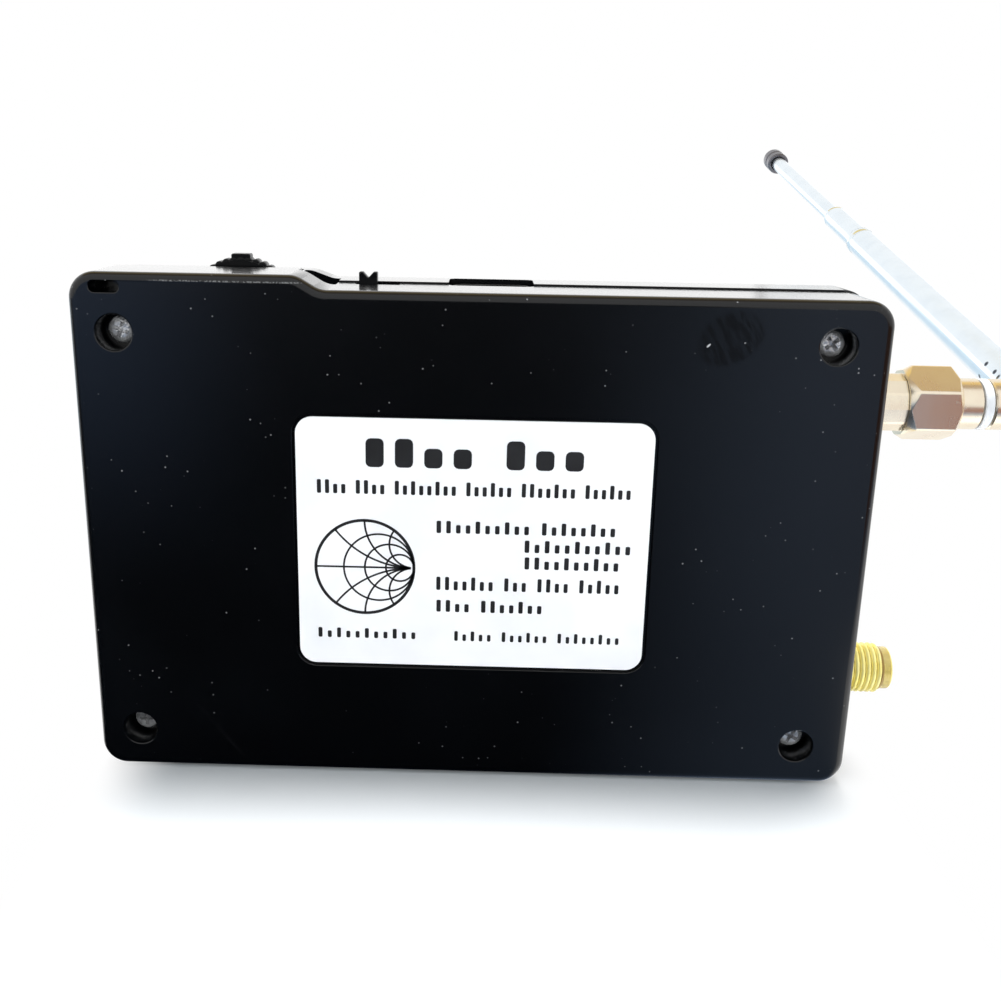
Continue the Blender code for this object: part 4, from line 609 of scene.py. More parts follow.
def plated(name, colour, second_colour, roughness, metallic=1.0, turn=(0, 0, 0), shaded_thread_height=None, dents=()):
    """Plated metal fresh from the lathe: fine rings along its length, clouded colour and small scratches.

    Given a port's height, its thread's valleys get painted shade; each dent gets a dark spot of painted shade
    about a point."""
    finish = Finish(name, colour, roughness, metallic)
    rings = finish.noise(2400.0, detail=2.0, stretch=(1.0, 0.02, 0.02), turn=turn)
    cloud = finish.noise(330.0, detail=3.0)
    flecks = finish.noise(4200.0, detail=2.0).above(0.62, 0.72)
    scratches = hairlines(finish, 1500.0, (0.6, 0.4, 0.2), 0.3)
    base = finish.mix(colour, second_colour, cloud.above(0.35, 0.7) * 0.6 + flecks * 0.25)
    # Painted shade: the thread's valleys are darkened, as if lying in shadow
    if shaded_thread_height is not None:
        _, y, z = finish.axes(centre=(0, PORT_Y, shaded_thread_height))
        radius = (y * y + z * z) ** 0.5
        valley_shade = radius.within(JACK_ROOT - 0.00001, JACK_ROOT + 0.00006, 0.00010)
        base = finish.mix(base, THREAD_VALLEY_SHADE, valley_shade * 0.9)
    # Painted shade: a dark spot at each crimp dent stands for the dent's own shading
    for dent in dents:
        x, y, z = finish.axes(centre=dent)
        base = finish.mix(base, DENT_SHADE, (x * x + y * y + z * z).below(0.00018 ** 2, 0.00042 ** 2))
    finish.feed(**{"Base Color": base,
                   "Roughness": roughness + cloud * 0.08 + scratches * 0.15 + rings * 0.05,
                   "Normal": finish.bump(rings + scratches * 0.5, 0.0000016, 0.5)})
    return finish.material


def mottled(name, colour, second_colour, roughness, grain, depth=0.000004, metallic=0.0, **constants):
    """A moulded, pressed or coated surface with a fine grain and a slightly clouded colour."""
    finish = Finish(name, colour, roughness, metallic, **constants)
    fine = finish.noise(grain, detail=3.0)
    cloud = finish.noise(grain / 9, detail=2.0)
    finish.feed(**{"Base Color": finish.mix(colour, second_colour, cloud.above(0.3, 0.7)),
                   "Roughness": roughness - 0.05 + fine * 0.12,
                   "Normal": finish.bump(fine, depth, 0.5)})
    return finish.material


# Settings

def colour_setting(name, default, description):
    return FloatVectorProperty(name=name, default=default, description=description, subtype="COLOR", size=3,
                               min=0.0, max=1.0)


def length_setting(name, default, description):
    return FloatProperty(name=name, default=default, description=description, subtype="DISTANCE",
                         unit="LENGTH", min=0.0)


def share_setting(name, default, description):
    return FloatProperty(name=name, default=default, description=description, subtype="FACTOR",
                         min=0.0, max=1.0)


def power_setting(name, default, description):
    return FloatProperty(name=name, default=default, description=description, subtype="POWER",
                         unit="POWER", min=0.0)


class AnalyzerCaseSettings(bpy.types.PropertyGroup):
    """Sizes and finish of the two moulded case halves."""

    corner_radius: length_setting("Corner radius", 0.0030, "Fillet of the case's four corners")
    edge_radius: length_setting("Edge radius", 0.0010, "Round between the flat faces and the sides")
    step_radius: length_setting("Step radius", 0.0030, "Fillets where the upper edge steps up")
    plastic_colour: colour_setting("Plastic", (0.0007, 0.0009, 0.0013), "Darkest colour of the black plastic")
    plastic_tint: colour_setting("Plastic tint", (0.0013, 0.0018, 0.0027), "Lighter clouds in the plastic")
    plastic_roughness: share_setting("Roughness", 0.34, "How soft the reflections on the plastic are")
    # Colour of the painted highlight on the rear half's rounded edges
    edge_highlight_colour: colour_setting("Highlight", (0.42, 0.42, 0.42), "Highlit edges")
    dust_colour: colour_setting("Dust", (0.55, 0.55, 0.56), "Specks and scratches")
    dust: share_setting("Dust", 0.34, "How strongly dust and scratches show")


class AnalyzerLabelSettings(bpy.types.PropertyGroup):
    """Rear label and its plain printed marks."""

    corner_radius: length_setting("Corner radius", 0.0020, "Fillet of the label's corners")
    chart_size: length_setting("Chart size", 0.0120, "Side of the printed chart")
    line_width: length_setting("Line width", 0.00022, "Width of the chart's lines")
    print_thickness: length_setting("Print thickness", 0.00002, "How far the ink stands off the label")
    paper_colour: colour_setting("Label", (0.88, 0.875, 0.88), "The white film")
    ink_colour: colour_setting("Ink", (0.010, 0.010, 0.011), "The printed marks")


class AnalyzerMetalSettings(bpy.types.PropertyGroup):
    """Plated metals, and the thread on the ports."""

    gold_colour: colour_setting("Gold", (1.0, 0.89, 0.36), "The bare port")
    pale_gold_colour: colour_setting("Pale gold", (0.94, 0.85, 0.68), "The antenna's nut and barrel")
    rose_colour: colour_setting("Rose tint", (0.86, 0.73, 0.58), "Clouds in the pale gold")
    nickel_colour: colour_setting("Nickel", (0.86, 0.93, 0.98), "The telescopic rod")
    steel_colour: colour_setting("Steel", (0.62, 0.62, 0.63), "Pressed cans")
    bright_steel_colour: colour_setting("Bright steel", (0.95, 0.95, 0.95), "Screws")
    thread_pitch: length_setting("Thread pitch", 0.0007056, "Distance between the port's thread turns")
    nut_across_flats: length_setting("Nut size", 0.0080, "Distance between opposite flats of the nut")
    nut_turn: FloatProperty(name="Nut turn", default=math.radians(27), subtype="ANGLE", unit="ROTATION",
                            description="How far the nut's corner is turned above the level")


class AnalyzerStageSettings(bpy.types.PropertyGroup):
    """Floor, light and camera."""

    floor_colour: colour_setting("Floor", (0.92, 0.935, 0.95), "The plain floor")
    sky_strength: FloatProperty(name="Sky", default=0.43, min=0.0,
                                description="Strength of the even white light")
    key_power: power_setting("Key lamp", 17.5, "Power of the large soft lamp")
    fill_power: power_setting("Fill lamp", 1.7, "Power of the low lamp in front")
    dark_reflection: colour_setting("Dark card", (0.002, 0.003, 0.007), "What the middle of the face mirrors")
    port_side_reflection: colour_setting("Port side card", (0.25, 0.335, 0.48),
                                         "What the face mirrors by the ports")
    wheel_side_reflection: colour_setting("Wheel side card", (0.19, 0.29, 0.49),
                                          "What the face mirrors by the upper wheel corner")
    nut_reflection: colour_setting("Nut card", (0.21, 0.075, 0.02), "What the nut's lower side mirrors")
    camera_height: length_setting("Camera height", 0.0721, "Height of the camera over the floor")


# Case

def case_outline(settings, low_top, raised_top, inset):
    """The case's filleted outline, raised on the thumb wheel's side."""
    corner, bend = settings.corner_radius, settings.step_radius
    corners = [(-HALF_WIDTH, 0, corner), (HALF_WIDTH, 0, corner), (HALF_WIDTH, raised_top, corner),
               (STEP_TOP_X, raised_top, bend), (STEP_TOP_X - STEP_RUN, low_top, bend),
               (-HALF_WIDTH, low_top, corner)]
    return outline(corners, inset)


def half_section(settings, face, seam, seam_ease, inner_face, lip, inward):
    """A case half's wall as (inset, depth) points: round edge, side, eased seam, lip or rebate, inner face.

    The round is inset R (1 - sin a) at depth R (1 - cos a) from the face, a from 0 to a right angle."""
    radius = settings.edge_radius
    angle = np.linspace(0, math.pi / 2, ARC_STEPS)
    edge = np.stack([radius * (1 - np.sin(angle)), face + inward * radius * (1 - np.cos(angle))], axis=1)
    ease = inward * seam_ease
    seam_edge = [(0, seam - ease), (seam_ease * 0.3, seam - ease * 0.3), (seam_ease, seam)]
    return np.concatenate([edge, seam_edge, lip, [(WALL, inner_face)]])


def case_half(settings, low_top, raised_top, section):
    """The wall section carried round the case's outline."""
    return lofted([(case_outline(settings, low_top, raised_top, inset), at_depth(depth))
                   for inset, depth in section])


def flared(outline_at, depth, ease):
    """A cutter from outside the rear face, flared where it meets the face.

    Its outline is a function of how far it is grown."""
    steps = ((ease * 3, -ease * 2), (ease, 0.0), (ease * 0.3, ease * 0.3), (0.0, ease), (0.0, depth))
    return lofted([(outline_at(grow), at_depth(level)) for grow, level in steps])


def mouth(x, z, depth, radius, ease):
    """A round cutter."""
    return flared(lambda grow: ring((x, z), radius + grow, 64), depth, ease)


def recess(centre, size, radius, depth, ease):
    """A rounded rectangular cutter."""
    return flared(lambda grow: rounded_box(centre, size, radius, grow), depth, ease)


def shared_openings():
    """Cutters through both halves: ports, USB plug, slide switch and the window at the step."""
    cutters = []
    for height in (LOWER_PORT_Z, UPPER_PORT_Z):
        points = ring((PORT_Y, height), PORT_WINDOW_RADIUS, 64)
        cutters.append(prism(points, -HALF_WIDTH - OVERRUN, -HALF_WIDTH + WALL + OVERRUN, "X"))
    width, depth, radius = USB_WINDOW
    usb = rounded_box((USB_X, at_depth(USB_DEPTH)), (width, depth), radius)
    cutters.append(prism(usb, USB_WINDOW_FLOOR, CASE_HEIGHT + OVERRUN, "Z"))
    floor = CASE_HEIGHT - WALL - SEAM_GAP
    cutters.append(block(STEP_WINDOW_X, STEP_WINDOW_DEPTHS, (floor, RAISED_TOP + OVERRUN)))
    half_length, half_depth = SWITCH_SLOT[0] / 2, SWITCH_SLOT[1] / 2
    cutters.append(block((SWITCH_X - half_length, SWITCH_X + half_length),
                         (SWITCH_DEPTH - half_depth, SWITCH_DEPTH + half_depth),
                         (floor, CASE_HEIGHT + OVERRUN)))
    return cutters


def screw_places():
    """Middle of each case screw's head, by its node."""
    places = {}
    for node in ("case_screw_low_port_side", "case_screw_low_wheel_side",
                 "case_screw_high_port_side", "case_screw_high_wheel_side"):
        low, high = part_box(node)
        places[node] = ((low.x + high.x) / 2, high.y, (low.z + high.z) / 2)
    return places


def rear_half(settings):
    """The rear half: its tray, the lanyard lug and screw posts, then every opening."""
    inner = WALL / 2
    step_in = SEAM_DEPTH - LIP_HEIGHT
    lip = [(inner, SEAM_DEPTH), (inner, step_in), (WALL, step_in)]
    section = half_section(settings, 0.0, SEAM_DEPTH, SEAM_EASE, WALL, lip, 1)
    tray = case_half(settings, CASE_HEIGHT, RAISED_TOP, section)
    slot_x, slot_z = SLOT_CENTRE
    half_x, half_z = SLOT_SIZE[0] / 2, SLOT_SIZE[1] / 2
    wall = WALL / 2
    lug = block((slot_x - half_x - wall, HALF_WIDTH - wall), (wall, SLOT_REACH + wall),
                (slot_z - half_z - wall, RAISED_TOP - wall))
    board_depth = REAR_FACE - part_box("main_board")[1].y - SEAM_GAP
    posts, holes = [], []
    for x, _, z in screw_places().values():
        posts.append(prism(ring((x, z), REAR_POST_RADIUS, 48), at_depth(wall), at_depth(board_depth)))
        holes.append(mouth(x, z, SCREW_HEAD_DEPTH, MOUTH_RADIUS, MOUTH_EASE))
        holes.append(mouth(x, z, SCREW_HOLE_DEPTH, SCREW_HOLE_RADIUS, 0.0))
    label_size = np.array((LABEL_HIGH.x - LABEL_LOW.x, LABEL_HIGH.z - LABEL_LOW.z)) + 2 * LABEL_MARGIN
    label_recess = recess(LABEL_CENTRE, label_size, LABEL_RECESS_RADIUS, LABEL_RECESS, 0.0001)
    slot = recess(SLOT_CENTRE, SLOT_SIZE, half_z - 0.00005, SLOT_REACH, 0.00014)
    slot_end = block((slot_x, HALF_WIDTH + OVERRUN), (SLOT_BAR, SLOT_REACH),
                     (slot_z - half_z + LIP_CLEARANCE, slot_z + half_z - LIP_CLEARANCE))
    return carved(tray, (lug, *posts), (*holes, label_recess, slot, slot_end, *shared_openings()))


def front_half(settings):
    """The display half: its tray with the raised lip, then the display window and the openings."""
    start = SEAM_DEPTH + SEAM_GAP
    inner = WALL / 2 + LIP_CLEARANCE
    lip = [(inner, start), (inner, start - LIP_HEIGHT), (WALL, start - LIP_HEIGHT)]
    section = half_section(settings, CASE_THICKNESS, start, FRONT_SEAM_EASE, CASE_THICKNESS - FRONT_WALL,
                           lip, -1)
    cover = case_half(settings, CASE_HEIGHT + FRONT_PROUD, FRONT_RAISED_TOP, section)
    flare = [(0.0010, -0.0003), (0.00070, 0.0), (0.0, 0.00070), (0.0, FRONT_WALL + SEAM_GAP)]
    window = [(rounded_box(DISPLAY_CENTRE, DISPLAY_WINDOW, 0.0008, grow), FRONT_FACE + level)
              for grow, level in flare]
    x, z = WHEEL_AXLE
    wheel = block((x - WHEEL_WINDOW_HALF, x + WHEEL_WINDOW_HALF),
                  (SEAM_DEPTH - LIP_HEIGHT, WHEEL_WINDOW_DEPTH), (z, RAISED_TOP + OVERRUN))
    posts, pilots = [], []
    for x, _, z in screw_places().values():
        post = ring((x, z), FRONT_POST_RADIUS, 48)
        posts.insert(0, prism(post, at_depth(CASE_THICKNESS - FRONT_WALL / 2), at_depth(FRONT_POST_DEPTH)))
        pilots.append(prism(ring((x, z), PILOT_RADIUS, 32), *map(at_depth, PILOT_DEPTHS)))
    return carved(cover, posts, (lofted(window), wheel, *pilots, *shared_openings()))


class ANALYZER_OT_case(bpy.types.Operator):
    """Build the two moulded case halves with their openings"""

    bl_idname = "analyzer.case"
    bl_label = "Case halves"

    def execute(self, context):
        settings = context.scene.analyzer_case
        rear = black_moulding("black moulded rear", settings, marked=True)
        front = black_moulding("black moulded front", settings)
        finished("rear_case_half", rear_half(settings), "case", rear, "rear_shell")
        finished("front_case_half", front_half(settings), "case", front, "front_shell")
        return {"FINISHED"}


# Rear label

def printed_bar(x, z, width, height, level, thickness):
    """A thin rounded bar of ink."""
    points = rounded_box((x, z), (width, height), min(width, height) * 0.28, steps=3)
    return prism(points, level, level + thickness)


def printed_line(path, width, level, thickness, closed=False):
    """A thin band of ink along a path: the path moved half the width to either side of itself."""
    ahead = np.roll(path, -1, axis=0) - path
    behind = path - np.roll(path, 1, axis=0)
    if not closed:
        ahead[-1], behind[0] = behind[-1], ahead[0]
    along = ahead + behind
    along /= np.linalg.norm(along, axis=1, keepdims=True)
    across = np.stack([-along[:, 1], along[:, 0]], axis=1) * width / 2
    left, right = path + across, path - across
    rows = []
    for points, y in ((left, level), (left, level + thickness), (right, level + thickness), (right, level)):
        rows.append(np.stack([points[:, 0], np.full(len(points), y), points[:, 1]], axis=1))
    grid = np.array(rows).transpose(1, 0, 2)
    return skin(grid, wrap_rows=closed)


def chart_curve(resistance, reactance, centre, radius):
    """A line of the reflection chart: the map (z - 1) / (z + 1) of a straight line of impedances z."""
    impedance = resistance + 1j * reactance
    reflection = (impedance - 1) / (impedance + 1)
    return np.array(centre) + radius * np.stack([-reflection.real, reflection.imag], axis=1)


def chart_lines(centre, size, width, level, thickness):
    """A reflection chart: circles of equal resistance and arcs of equal reactance."""
    radius = size / 2 - width
    sweep = np.tan(np.linspace(-math.pi / 2, math.pi / 2, 97)[1:-1])
    lines = [printed_line(ring(centre, radius, 96), width * 1.6, level, thickness, closed=True)]
    for resistance in (0.4, 1.0, 2.5):
        path = chart_curve(np.full(len(sweep), resistance), sweep, centre, radius)
        lines.append(printed_line(path, width, level, thickness))
    half_sweep = np.tan(np.linspace(0, math.pi / 2, 49)[:-1])
    for reactance in (-2.0, -1.0, -0.5, 0.0, 0.5, 1.0, 2.0):
        path = chart_curve(half_sweep, np.full(len(half_sweep), reactance), centre, radius)
        lines.append(printed_line(path, width, level, thickness))
    return lines


def word_bars(left, right, z, height, words, level, thickness, weight):
    """A row of small upright bars that stand for words; every third bar is tall, as letters vary."""
    bars = []
    pitch = (left - right) / (sum(words) + 0.8 * (len(words) - 1))
    x = left
    for count in words:
        for number in range(count):
            tall = number == 0 or (number * 5 + count) % 3 == 0
            size = height if tall else height * 0.68
            foot = z - (height - size) / 2
            bars.append(printed_bar(x - pitch / 2, foot, pitch * weight, size, level, thickness))
            x -= pitch
        x -= pitch * 0.8
    return bars


def joined(meshes):
    """One mesh made of several."""
    whole = bmesh.new()
    for mesh in meshes:
        whole.from_mesh(mesh)
    result = bpy.data.meshes.new("joined")
    whole.to_mesh(result)
    whole.free()
    return result


class ANALYZER_OT_label(bpy.types.Operator):
    """Build the rear label, printed with a chart and plain bars instead of words"""

    bl_idname = "analyzer.label"
    bl_label = "Rear label"

    def execute(self, context):
        settings = context.scene.analyzer_label
        size = (LABEL_HIGH.x - LABEL_LOW.x, LABEL_HIGH.z - LABEL_LOW.z)
        face = LABEL_HIGH.y
        ease = 0.00004
        steps = ((0.0, LABEL_LOW.y), *eased_ends(LABEL_LOW.y, face, ease)[3:])
        rows = [(rounded_box(LABEL_CENTRE, size, settings.corner_radius, -inset), y) for inset, y in steps]
        film = mottled("white label film", settings.paper_colour, (0.82, 0.82, 0.84), 0.42, 900.0, 0.000003,
                       Specular_IOR_Level=0.4)
        finished("rear_label_film", lofted(rows), "case", film, "rear_label")
        ink = mottled("black ink", settings.ink_colour, (0.016, 0.016, 0.018), 0.45, 2500.0, 0.000001)
        level, thickness = face + settings.print_thickness / 2, settings.print_thickness
        marks = chart_lines(CHART_CENTRE, settings.chart_size, settings.line_width, level, thickness)
        for left, right, z, height, words, weight in LABEL_WORDS:
            marks += word_bars(left, right, z, height, words, level, thickness, weight)
        finished("label_print", joined(marks), "case", ink)
        return {"FINISHED"}


# Case screws

def cross_section(span, width):
    """The outline of a cross of two bars: one arm's three points, turned three times by a right angle."""
    s, w = span / 2, width / 2
    arm = np.array([(s, -w), (s, w), (w, w)])
    quarter = np.array([(0, 1), (-1, 0)])
    return np.concatenate([arm @ np.linalg.matrix_power(quarter, count) for count in range(4)])


class ANALYZER_OT_screws(bpy.types.Operator):
    """Build the four cross-recessed case screws"""

    bl_idname = "analyzer.screws"
    bl_label = "Case screws"

    def execute(self, context):
        metal = context.scene.analyzer_metal
        steel = mottled("scratched screw steel", metal.bright_steel_colour, (0.30, 0.30, 0.31), 0.18, 2200.0,
                        0.0003, metallic=0.7)
        for number, (node, (x, y, z)) in enumerate(screw_places().items()):
            body = turned(eased(SCREW_PROFILE, 0.00012), (x, y, z), (0, 1, 0), (1, 0, 0), 48)
            angle = FIRST_CROSS_TURN + number
            turn = np.array([[math.cos(angle), math.sin(angle)], [-math.sin(angle), math.cos(angle)]])
            cross = lofted([(cross_section(span, width) @ turn + (x, z), y + level)
                            for span, width, level in SCREW_CROSS])
            finished(f"screw_{number}", carved(body, cut=(cross,)), "case", steel, node)
        return {"FINISHED"}


# Controls

def knurled_rim(angle):
    """The rim's radius at an angle: a rounded wave between root and crest."""
    phase = (angle - math.pi / 2) / WHEEL_SWEEP * WHEEL_TEETH
    return WHEEL_ROOT + (WHEEL_CREST - WHEEL_ROOT) * np.abs(np.cos(math.pi * phase)) ** 0.8


def plain_rim(angle):
    """The thinner disc's radius, the same all round."""
    return np.full(len(angle), WHEEL_DISC)


def half_wheel(radius_at, samples, inset):
    """The wheel's upper part with its radius as a function of the angle, closed by the hub below its axle."""
    first = math.pi / 2 - WHEEL_SWEEP / 2
    angle = first + WHEEL_SWEEP * np.linspace(0, 1, samples)
    radius = radius_at(angle) - inset
    rim = np.stack([radius * np.cos(angle), radius * np.sin(angle)], axis=1)
    low = -radius[0] * math.sin(first)
    start = math.asin(min(low / WHEEL_HUB, 1.0))
    hub_angle = math.pi + start + (math.pi - 2 * start) * np.linspace(0, 1, 24)
    hub = (WHEEL_HUB - inset) * np.stack([np.cos(hub_angle), np.sin(hub_angle)], axis=1)
    return np.concatenate([rim, hub]) + np.array(WHEEL_AXLE)


def thumb_wheel():
    """Knurled half wheel, its thinner disc, the tab over its middle, and the axle's bore."""
    ease = 0.00012
    far, near, disc_end = at_depth(WHEEL_FAR_DEPTH), at_depth(WHEEL_DISC_END), at_depth(WHEEL_NEAR_DEPTH)
    samples = WHEEL_TEETH * TOOTH_SAMPLES + 1
    knurled = lofted([(half_wheel(knurled_rim, samples, inset), y)
                      for inset, y in eased_ends(far, near, ease)])
    overlap = 0.0003
    disc = prism(half_wheel(plain_rim, 120, 0.0), near - overlap, disc_end)
    width, top = WHEEL_TAB
    x, z = WHEEL_AXLE
    foot, inset = WHEEL_ROOT - 0.0006, 0.0001
    low, high = far + inset, near - inset
    tab_steps = ((-ease, low), (0.0, low + ease), (0.0, high - ease), (-ease, high))
    tab = [(rounded_box((x, z + (foot + top) / 2), (width, top - foot), 0.00022, grow), y)
           for grow, y in tab_steps]
    bore = prism(ring((x, z), WHEEL_BORE, 48), far - OVERRUN, disc_end + OVERRUN)
    return carved(knurled, (disc, lofted(tab)), (bore,))


def slide_knob():
    """The slide switch's knob: a small block with a V notch between two eased prongs."""
    middle = (KNOB_LOW.x + KNOB_HIGH.x) / 2
    half = (KNOB_HIGH.x - KNOB_LOW.x) / 2
    top, foot = KNOB_HIGH.z, KNOB_LOW.z
    corners = [(middle - half, foot, 0.00005), (middle + half, foot, 0.00005),
               (middle + half, top, 0.00014), (middle + KNOB_NOTCH[0], top, 0.00010),
               (middle, top - KNOB_NOTCH[1], 0.00012), (middle - KNOB_NOTCH[0], top, 0.00010),
               (middle - half, top, 0.00014)]
    return lofted([(outline(corners, inset, 5), y)
                   for inset, y in eased_ends(KNOB_LOW.y, KNOB_HIGH.y, 0.00010)])


class ANALYZER_OT_controls(bpy.types.Operator):
    """Build the thumb wheel and the slide switch's knob"""

    bl_idname = "analyzer.controls"
    bl_label = "Thumb wheel and knob"

    def execute(self, context):
        settings = context.scene.analyzer_case
        black = black_moulding("black moulded control", settings, 0.25)
        finished("thumb_wheel", thumb_wheel(), "jog_wheel", black, "jog_wheel")
        finished("slide_knob", slide_knob(), "power_switch_slider", black,
                 "power_switch_slider")
        return {"FINISHED"}


# Ports

def threaded_barrel(height, pitch):
    """The port's thread: radius = root + depth * |sin(half turn * (s / pitch - a / turn))| ^ 0.6.

    s runs along the axis and a round it. The wave has wide crests and sharp valleys, and fades out at
    the plain lip."""
    start, end = JACK_FOOT, JACK_REACH - JACK_LIP
    along = np.linspace(start, end, 200)
    angle = np.linspace(0, math.tau, ROUND_STEPS, endpoint=False)
    phase = (along[:, None] / pitch - angle[None, :] / math.tau) % 1.0
    wave = np.sin(math.pi * phase) ** 0.6
    fade = np.clip((end - along) / (pitch * 0.8), 0, 1)[:, None]
    radius = JACK_ROOT + (JACK_CREST - JACK_ROOT) * wave * fade
    lip = [(JACK_REACH - JACK_LIP + 0.0001, JACK_LIP_RADIUS), (JACK_REACH - 0.0002, JACK_LIP_RADIUS),
           (JACK_REACH - 0.00006, JACK_LIP_RADIUS - 0.00005), (JACK_REACH, JACK_LIP_RADIUS - 0.00012),
           (JACK_REACH, JACK_BORE + 0.00015), (JACK_REACH - 0.00012, JACK_BORE), (start, JACK_BORE)]
    lip = np.array(lip)
    levels = np.concatenate([along, lip[:, 0]])
    radii = np.concatenate([radius, np.repeat(lip[:, 1:], ROUND_STEPS, axis=1)])
    grid = np.stack([np.repeat(-HALF_WIDTH - levels[:, None], ROUND_STEPS, axis=1),
                     PORT_Y + radii * np.cos(angle), height + radii * np.sin(angle)], axis=-1)
    return skin(grid, wrap_rows=True)


def jack(height, pitch):
    """A port jack: the threaded barrel with its square flange and four prongs behind the wall."""
    half = FLANGE_SIZE / 2
    square = np.array([(-half, -half), (half, -half), (half, half), (-half, half)]) + (PORT_Y, height)
    parts = [prism(square, *(place - HALF_WIDTH for place in FLANGE_PLACES), "X")]
    for across in (-PRONG_ROW / 2, PRONG_ROW / 2):
        for level in (-PRONG_SPACING / 2, PRONG_SPACING / 2):
            prong = rounded_box((PORT_Y + level, height + across), PRONG_SIZE, 0.0001, steps=2)
            parts.append(prism(prong, *(place - HALF_WIDTH for place in PRONG_PLACES), "X"))
    bore = prism(ring((PORT_Y, height), JACK_BORE, 64), -HALF_WIDTH - JACK_BORE_ENDS[0],
                 -HALF_WIDTH + JACK_BORE_ENDS[1], "X")
    return carved(threaded_barrel(height, pitch), parts, (bore,))


class ANALYZER_OT_ports(bpy.types.Operator):
    """Build the bare threaded port with its insulator and contact, and finish the hidden one"""

    bl_idname = "analyzer.ports"
    bl_label = "Coaxial ports"

    def execute(self, context):
        metal = context.scene.analyzer_metal
        # The bare port's gold gets painted shade in its thread's valleys
        gold = plated("bright gold plate", metal.gold_colour, (1.0, 0.83, 0.12), 0.2, 0.25,
                      shaded_thread_height=LOWER_PORT_Z)
        white = mottled("white waxy insulator", (0.80, 0.80, 0.77), (0.74, 0.74, 0.71), 0.42, 1800.0)
        finished("bare_port_jack", jack(LOWER_PORT_Z, metal.thread_pitch), "case", gold,
                 "lower_port_jack", THREAD_SHARP_EDGE)
        face = JACK_FACE
        sleeve = eased([(JACK_FOOT, 0.00095), (JACK_FOOT, 0.00215), (face, 0.00215), (face, 0.00095)], 0.0001)
        finished("bare_port_insulator", on_port(sleeve, LOWER_PORT_Z), "case", white,
                 "lower_port_insulator")
        contact = [(-0.0065, 0.0), (-0.0065, 0.00045), (-0.0036, 0.00045), (-0.0036, 0.0008),
                   (face - 0.0001, 0.0008), (face, 0.0007), (face, 0.0006), (face - 0.0040, 0.0006),
                   (face - 0.0040, 0.0)]
        finished("bare_port_contact", on_port(contact, LOWER_PORT_Z, 48), "case", gold,
                 "lower_port_contact")
        repaint(gold, "upper_port_jack", "upper_port_contact", "antenna_plug_pin")
        repaint(white, "upper_port_insulator", "antenna_plug_insulator")
        return {"FINISHED"}


def repaint(material, *nodes):
    """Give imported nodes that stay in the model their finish."""
    for node in nodes:
        painted(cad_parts[node].data, material)


# Antenna

def nut_hexagon(metal):
    """The nut's outline, with its corners just eased, as (angle, radius) about its axis."""
    corner = metal.nut_across_flats / 2 / math.cos(math.pi / 6)
    angles = math.pi + metal.nut_turn + math.tau * np.arange(6) / 6
    corners = [(corner * math.cos(a), corner * math.sin(a), NUT_CORNER_EASE) for a in angles]
    points = outline(corners, steps=6)
    flats = np.concatenate([points, (points + np.roll(points, -1, axis=0)) / 2])
    angle = np.arctan2(flats[:, 1], flats[:, 0])
    order = np.argsort(angle)
    return angle[order], np.linalg.norm(flats, axis=1)[order]


def coupling_nut(metal):
    """The nut: a hexagon on a round skirt, with ends cut by cones, so that their edges dip at the corners.

    A cone that drops d over the corner's height c - f above the flats meets the hexagon's radius h(a) at a
    distance d (h(a) - r) / (c - f) from the end, for the end face's radius r."""
    angle, hexagon = nut_hexagon(metal)
    flat = metal.nut_across_flats / 2
    face_radius = flat - 0.00005
    rise = (hexagon - face_radius) / (flat / math.cos(math.pi / 6) - flat)
    near_dip, far_dip = rise * NUT_NEAR_DIP, rise * NUT_FAR_DIP
    rows = ((NUT_NEAR, NUT_INSIDE), (NUT_NEAR, NUT_SKIRT - 0.0002), (NUT_NEAR + 0.0001, NUT_SKIRT - 0.00006),
            (NUT_NEAR + 0.0002, NUT_SKIRT), (NUT_HEX - 0.00005, NUT_SKIRT), (NUT_HEX, NUT_SKIRT + 0.00005),
            (NUT_HEX, face_radius), (NUT_HEX + near_dip, hexagon - 0.00001),
            (NUT_HEX + near_dip + 0.00008, hexagon), (NUT_FAR - far_dip - 0.00008, hexagon),
            (NUT_FAR - far_dip, hexagon - 0.00001), (NUT_FAR, face_radius), (NUT_FAR, NUT_LIP[1]), NUT_LIP,
            (NUT_LIP[0], NUT_INSIDE))
    grid = []
    for reach, radius in rows:
        y, z = PORT_Y - radius * np.cos(angle), UPPER_PORT_Z - radius * np.sin(angle)
        grid.append(np.stack(np.broadcast_arrays(-HALF_WIDTH - reach, y, z), axis=1))
    return skin(np.array(grid), wrap_rows=True)


def elbow_fork():
    """The swivel's fork: a barrel with a round end, slotted for the rod's tongue and bored for its pin."""
    dome = np.linspace(0, math.pi / 2, 14)
    rounded = [(PIVOT_REACH + FORK_DOME * math.sin(a), FORK_RADIUS * math.cos(a)) for a in dome]
    rounded[-1] = (rounded[-1][0], 0.0)
    profile = [(FORK_BORE_END, 0.0), (FORK_BORE_END, 0.00165), (FORK_REACH, 0.00165),
               (FORK_REACH, FORK_RADIUS - 0.00015), (FORK_REACH + 0.00015, FORK_RADIUS), *rounded]
    bottom = np.array((-HALF_WIDTH - FORK_FLOOR, PORT_Y, UPPER_PORT_Z))
    half_height, length = 0.0050, 0.0070
    sides = [ROD_AXIS * (a * half_height) + ROD_ACROSS * (b * FORK_SLOT_HALF)
             for a, b in ((-1, -1), (1, -1), (1, 1), (-1, 1))]
    slot = skin(np.array([[bottom + (-reach, 0, 0) + side for side in sides] for reach in (0, length)]))
    return carved(on_port(profile, UPPER_PORT_Z), cut=(slot, pin_hole(0.005)))


def pin_hole(half_length):
    """A cutter for the elbow's pin, through the pivot."""
    profile = [(-half_length, 0.0), (-half_length, PIN_HOLE_RADIUS), (half_length, PIN_HOLE_RADIUS),
               (half_length, 0.0)]
    return turned(profile, PIVOT, ROD_ACROSS, ROD_AXIS, 32)


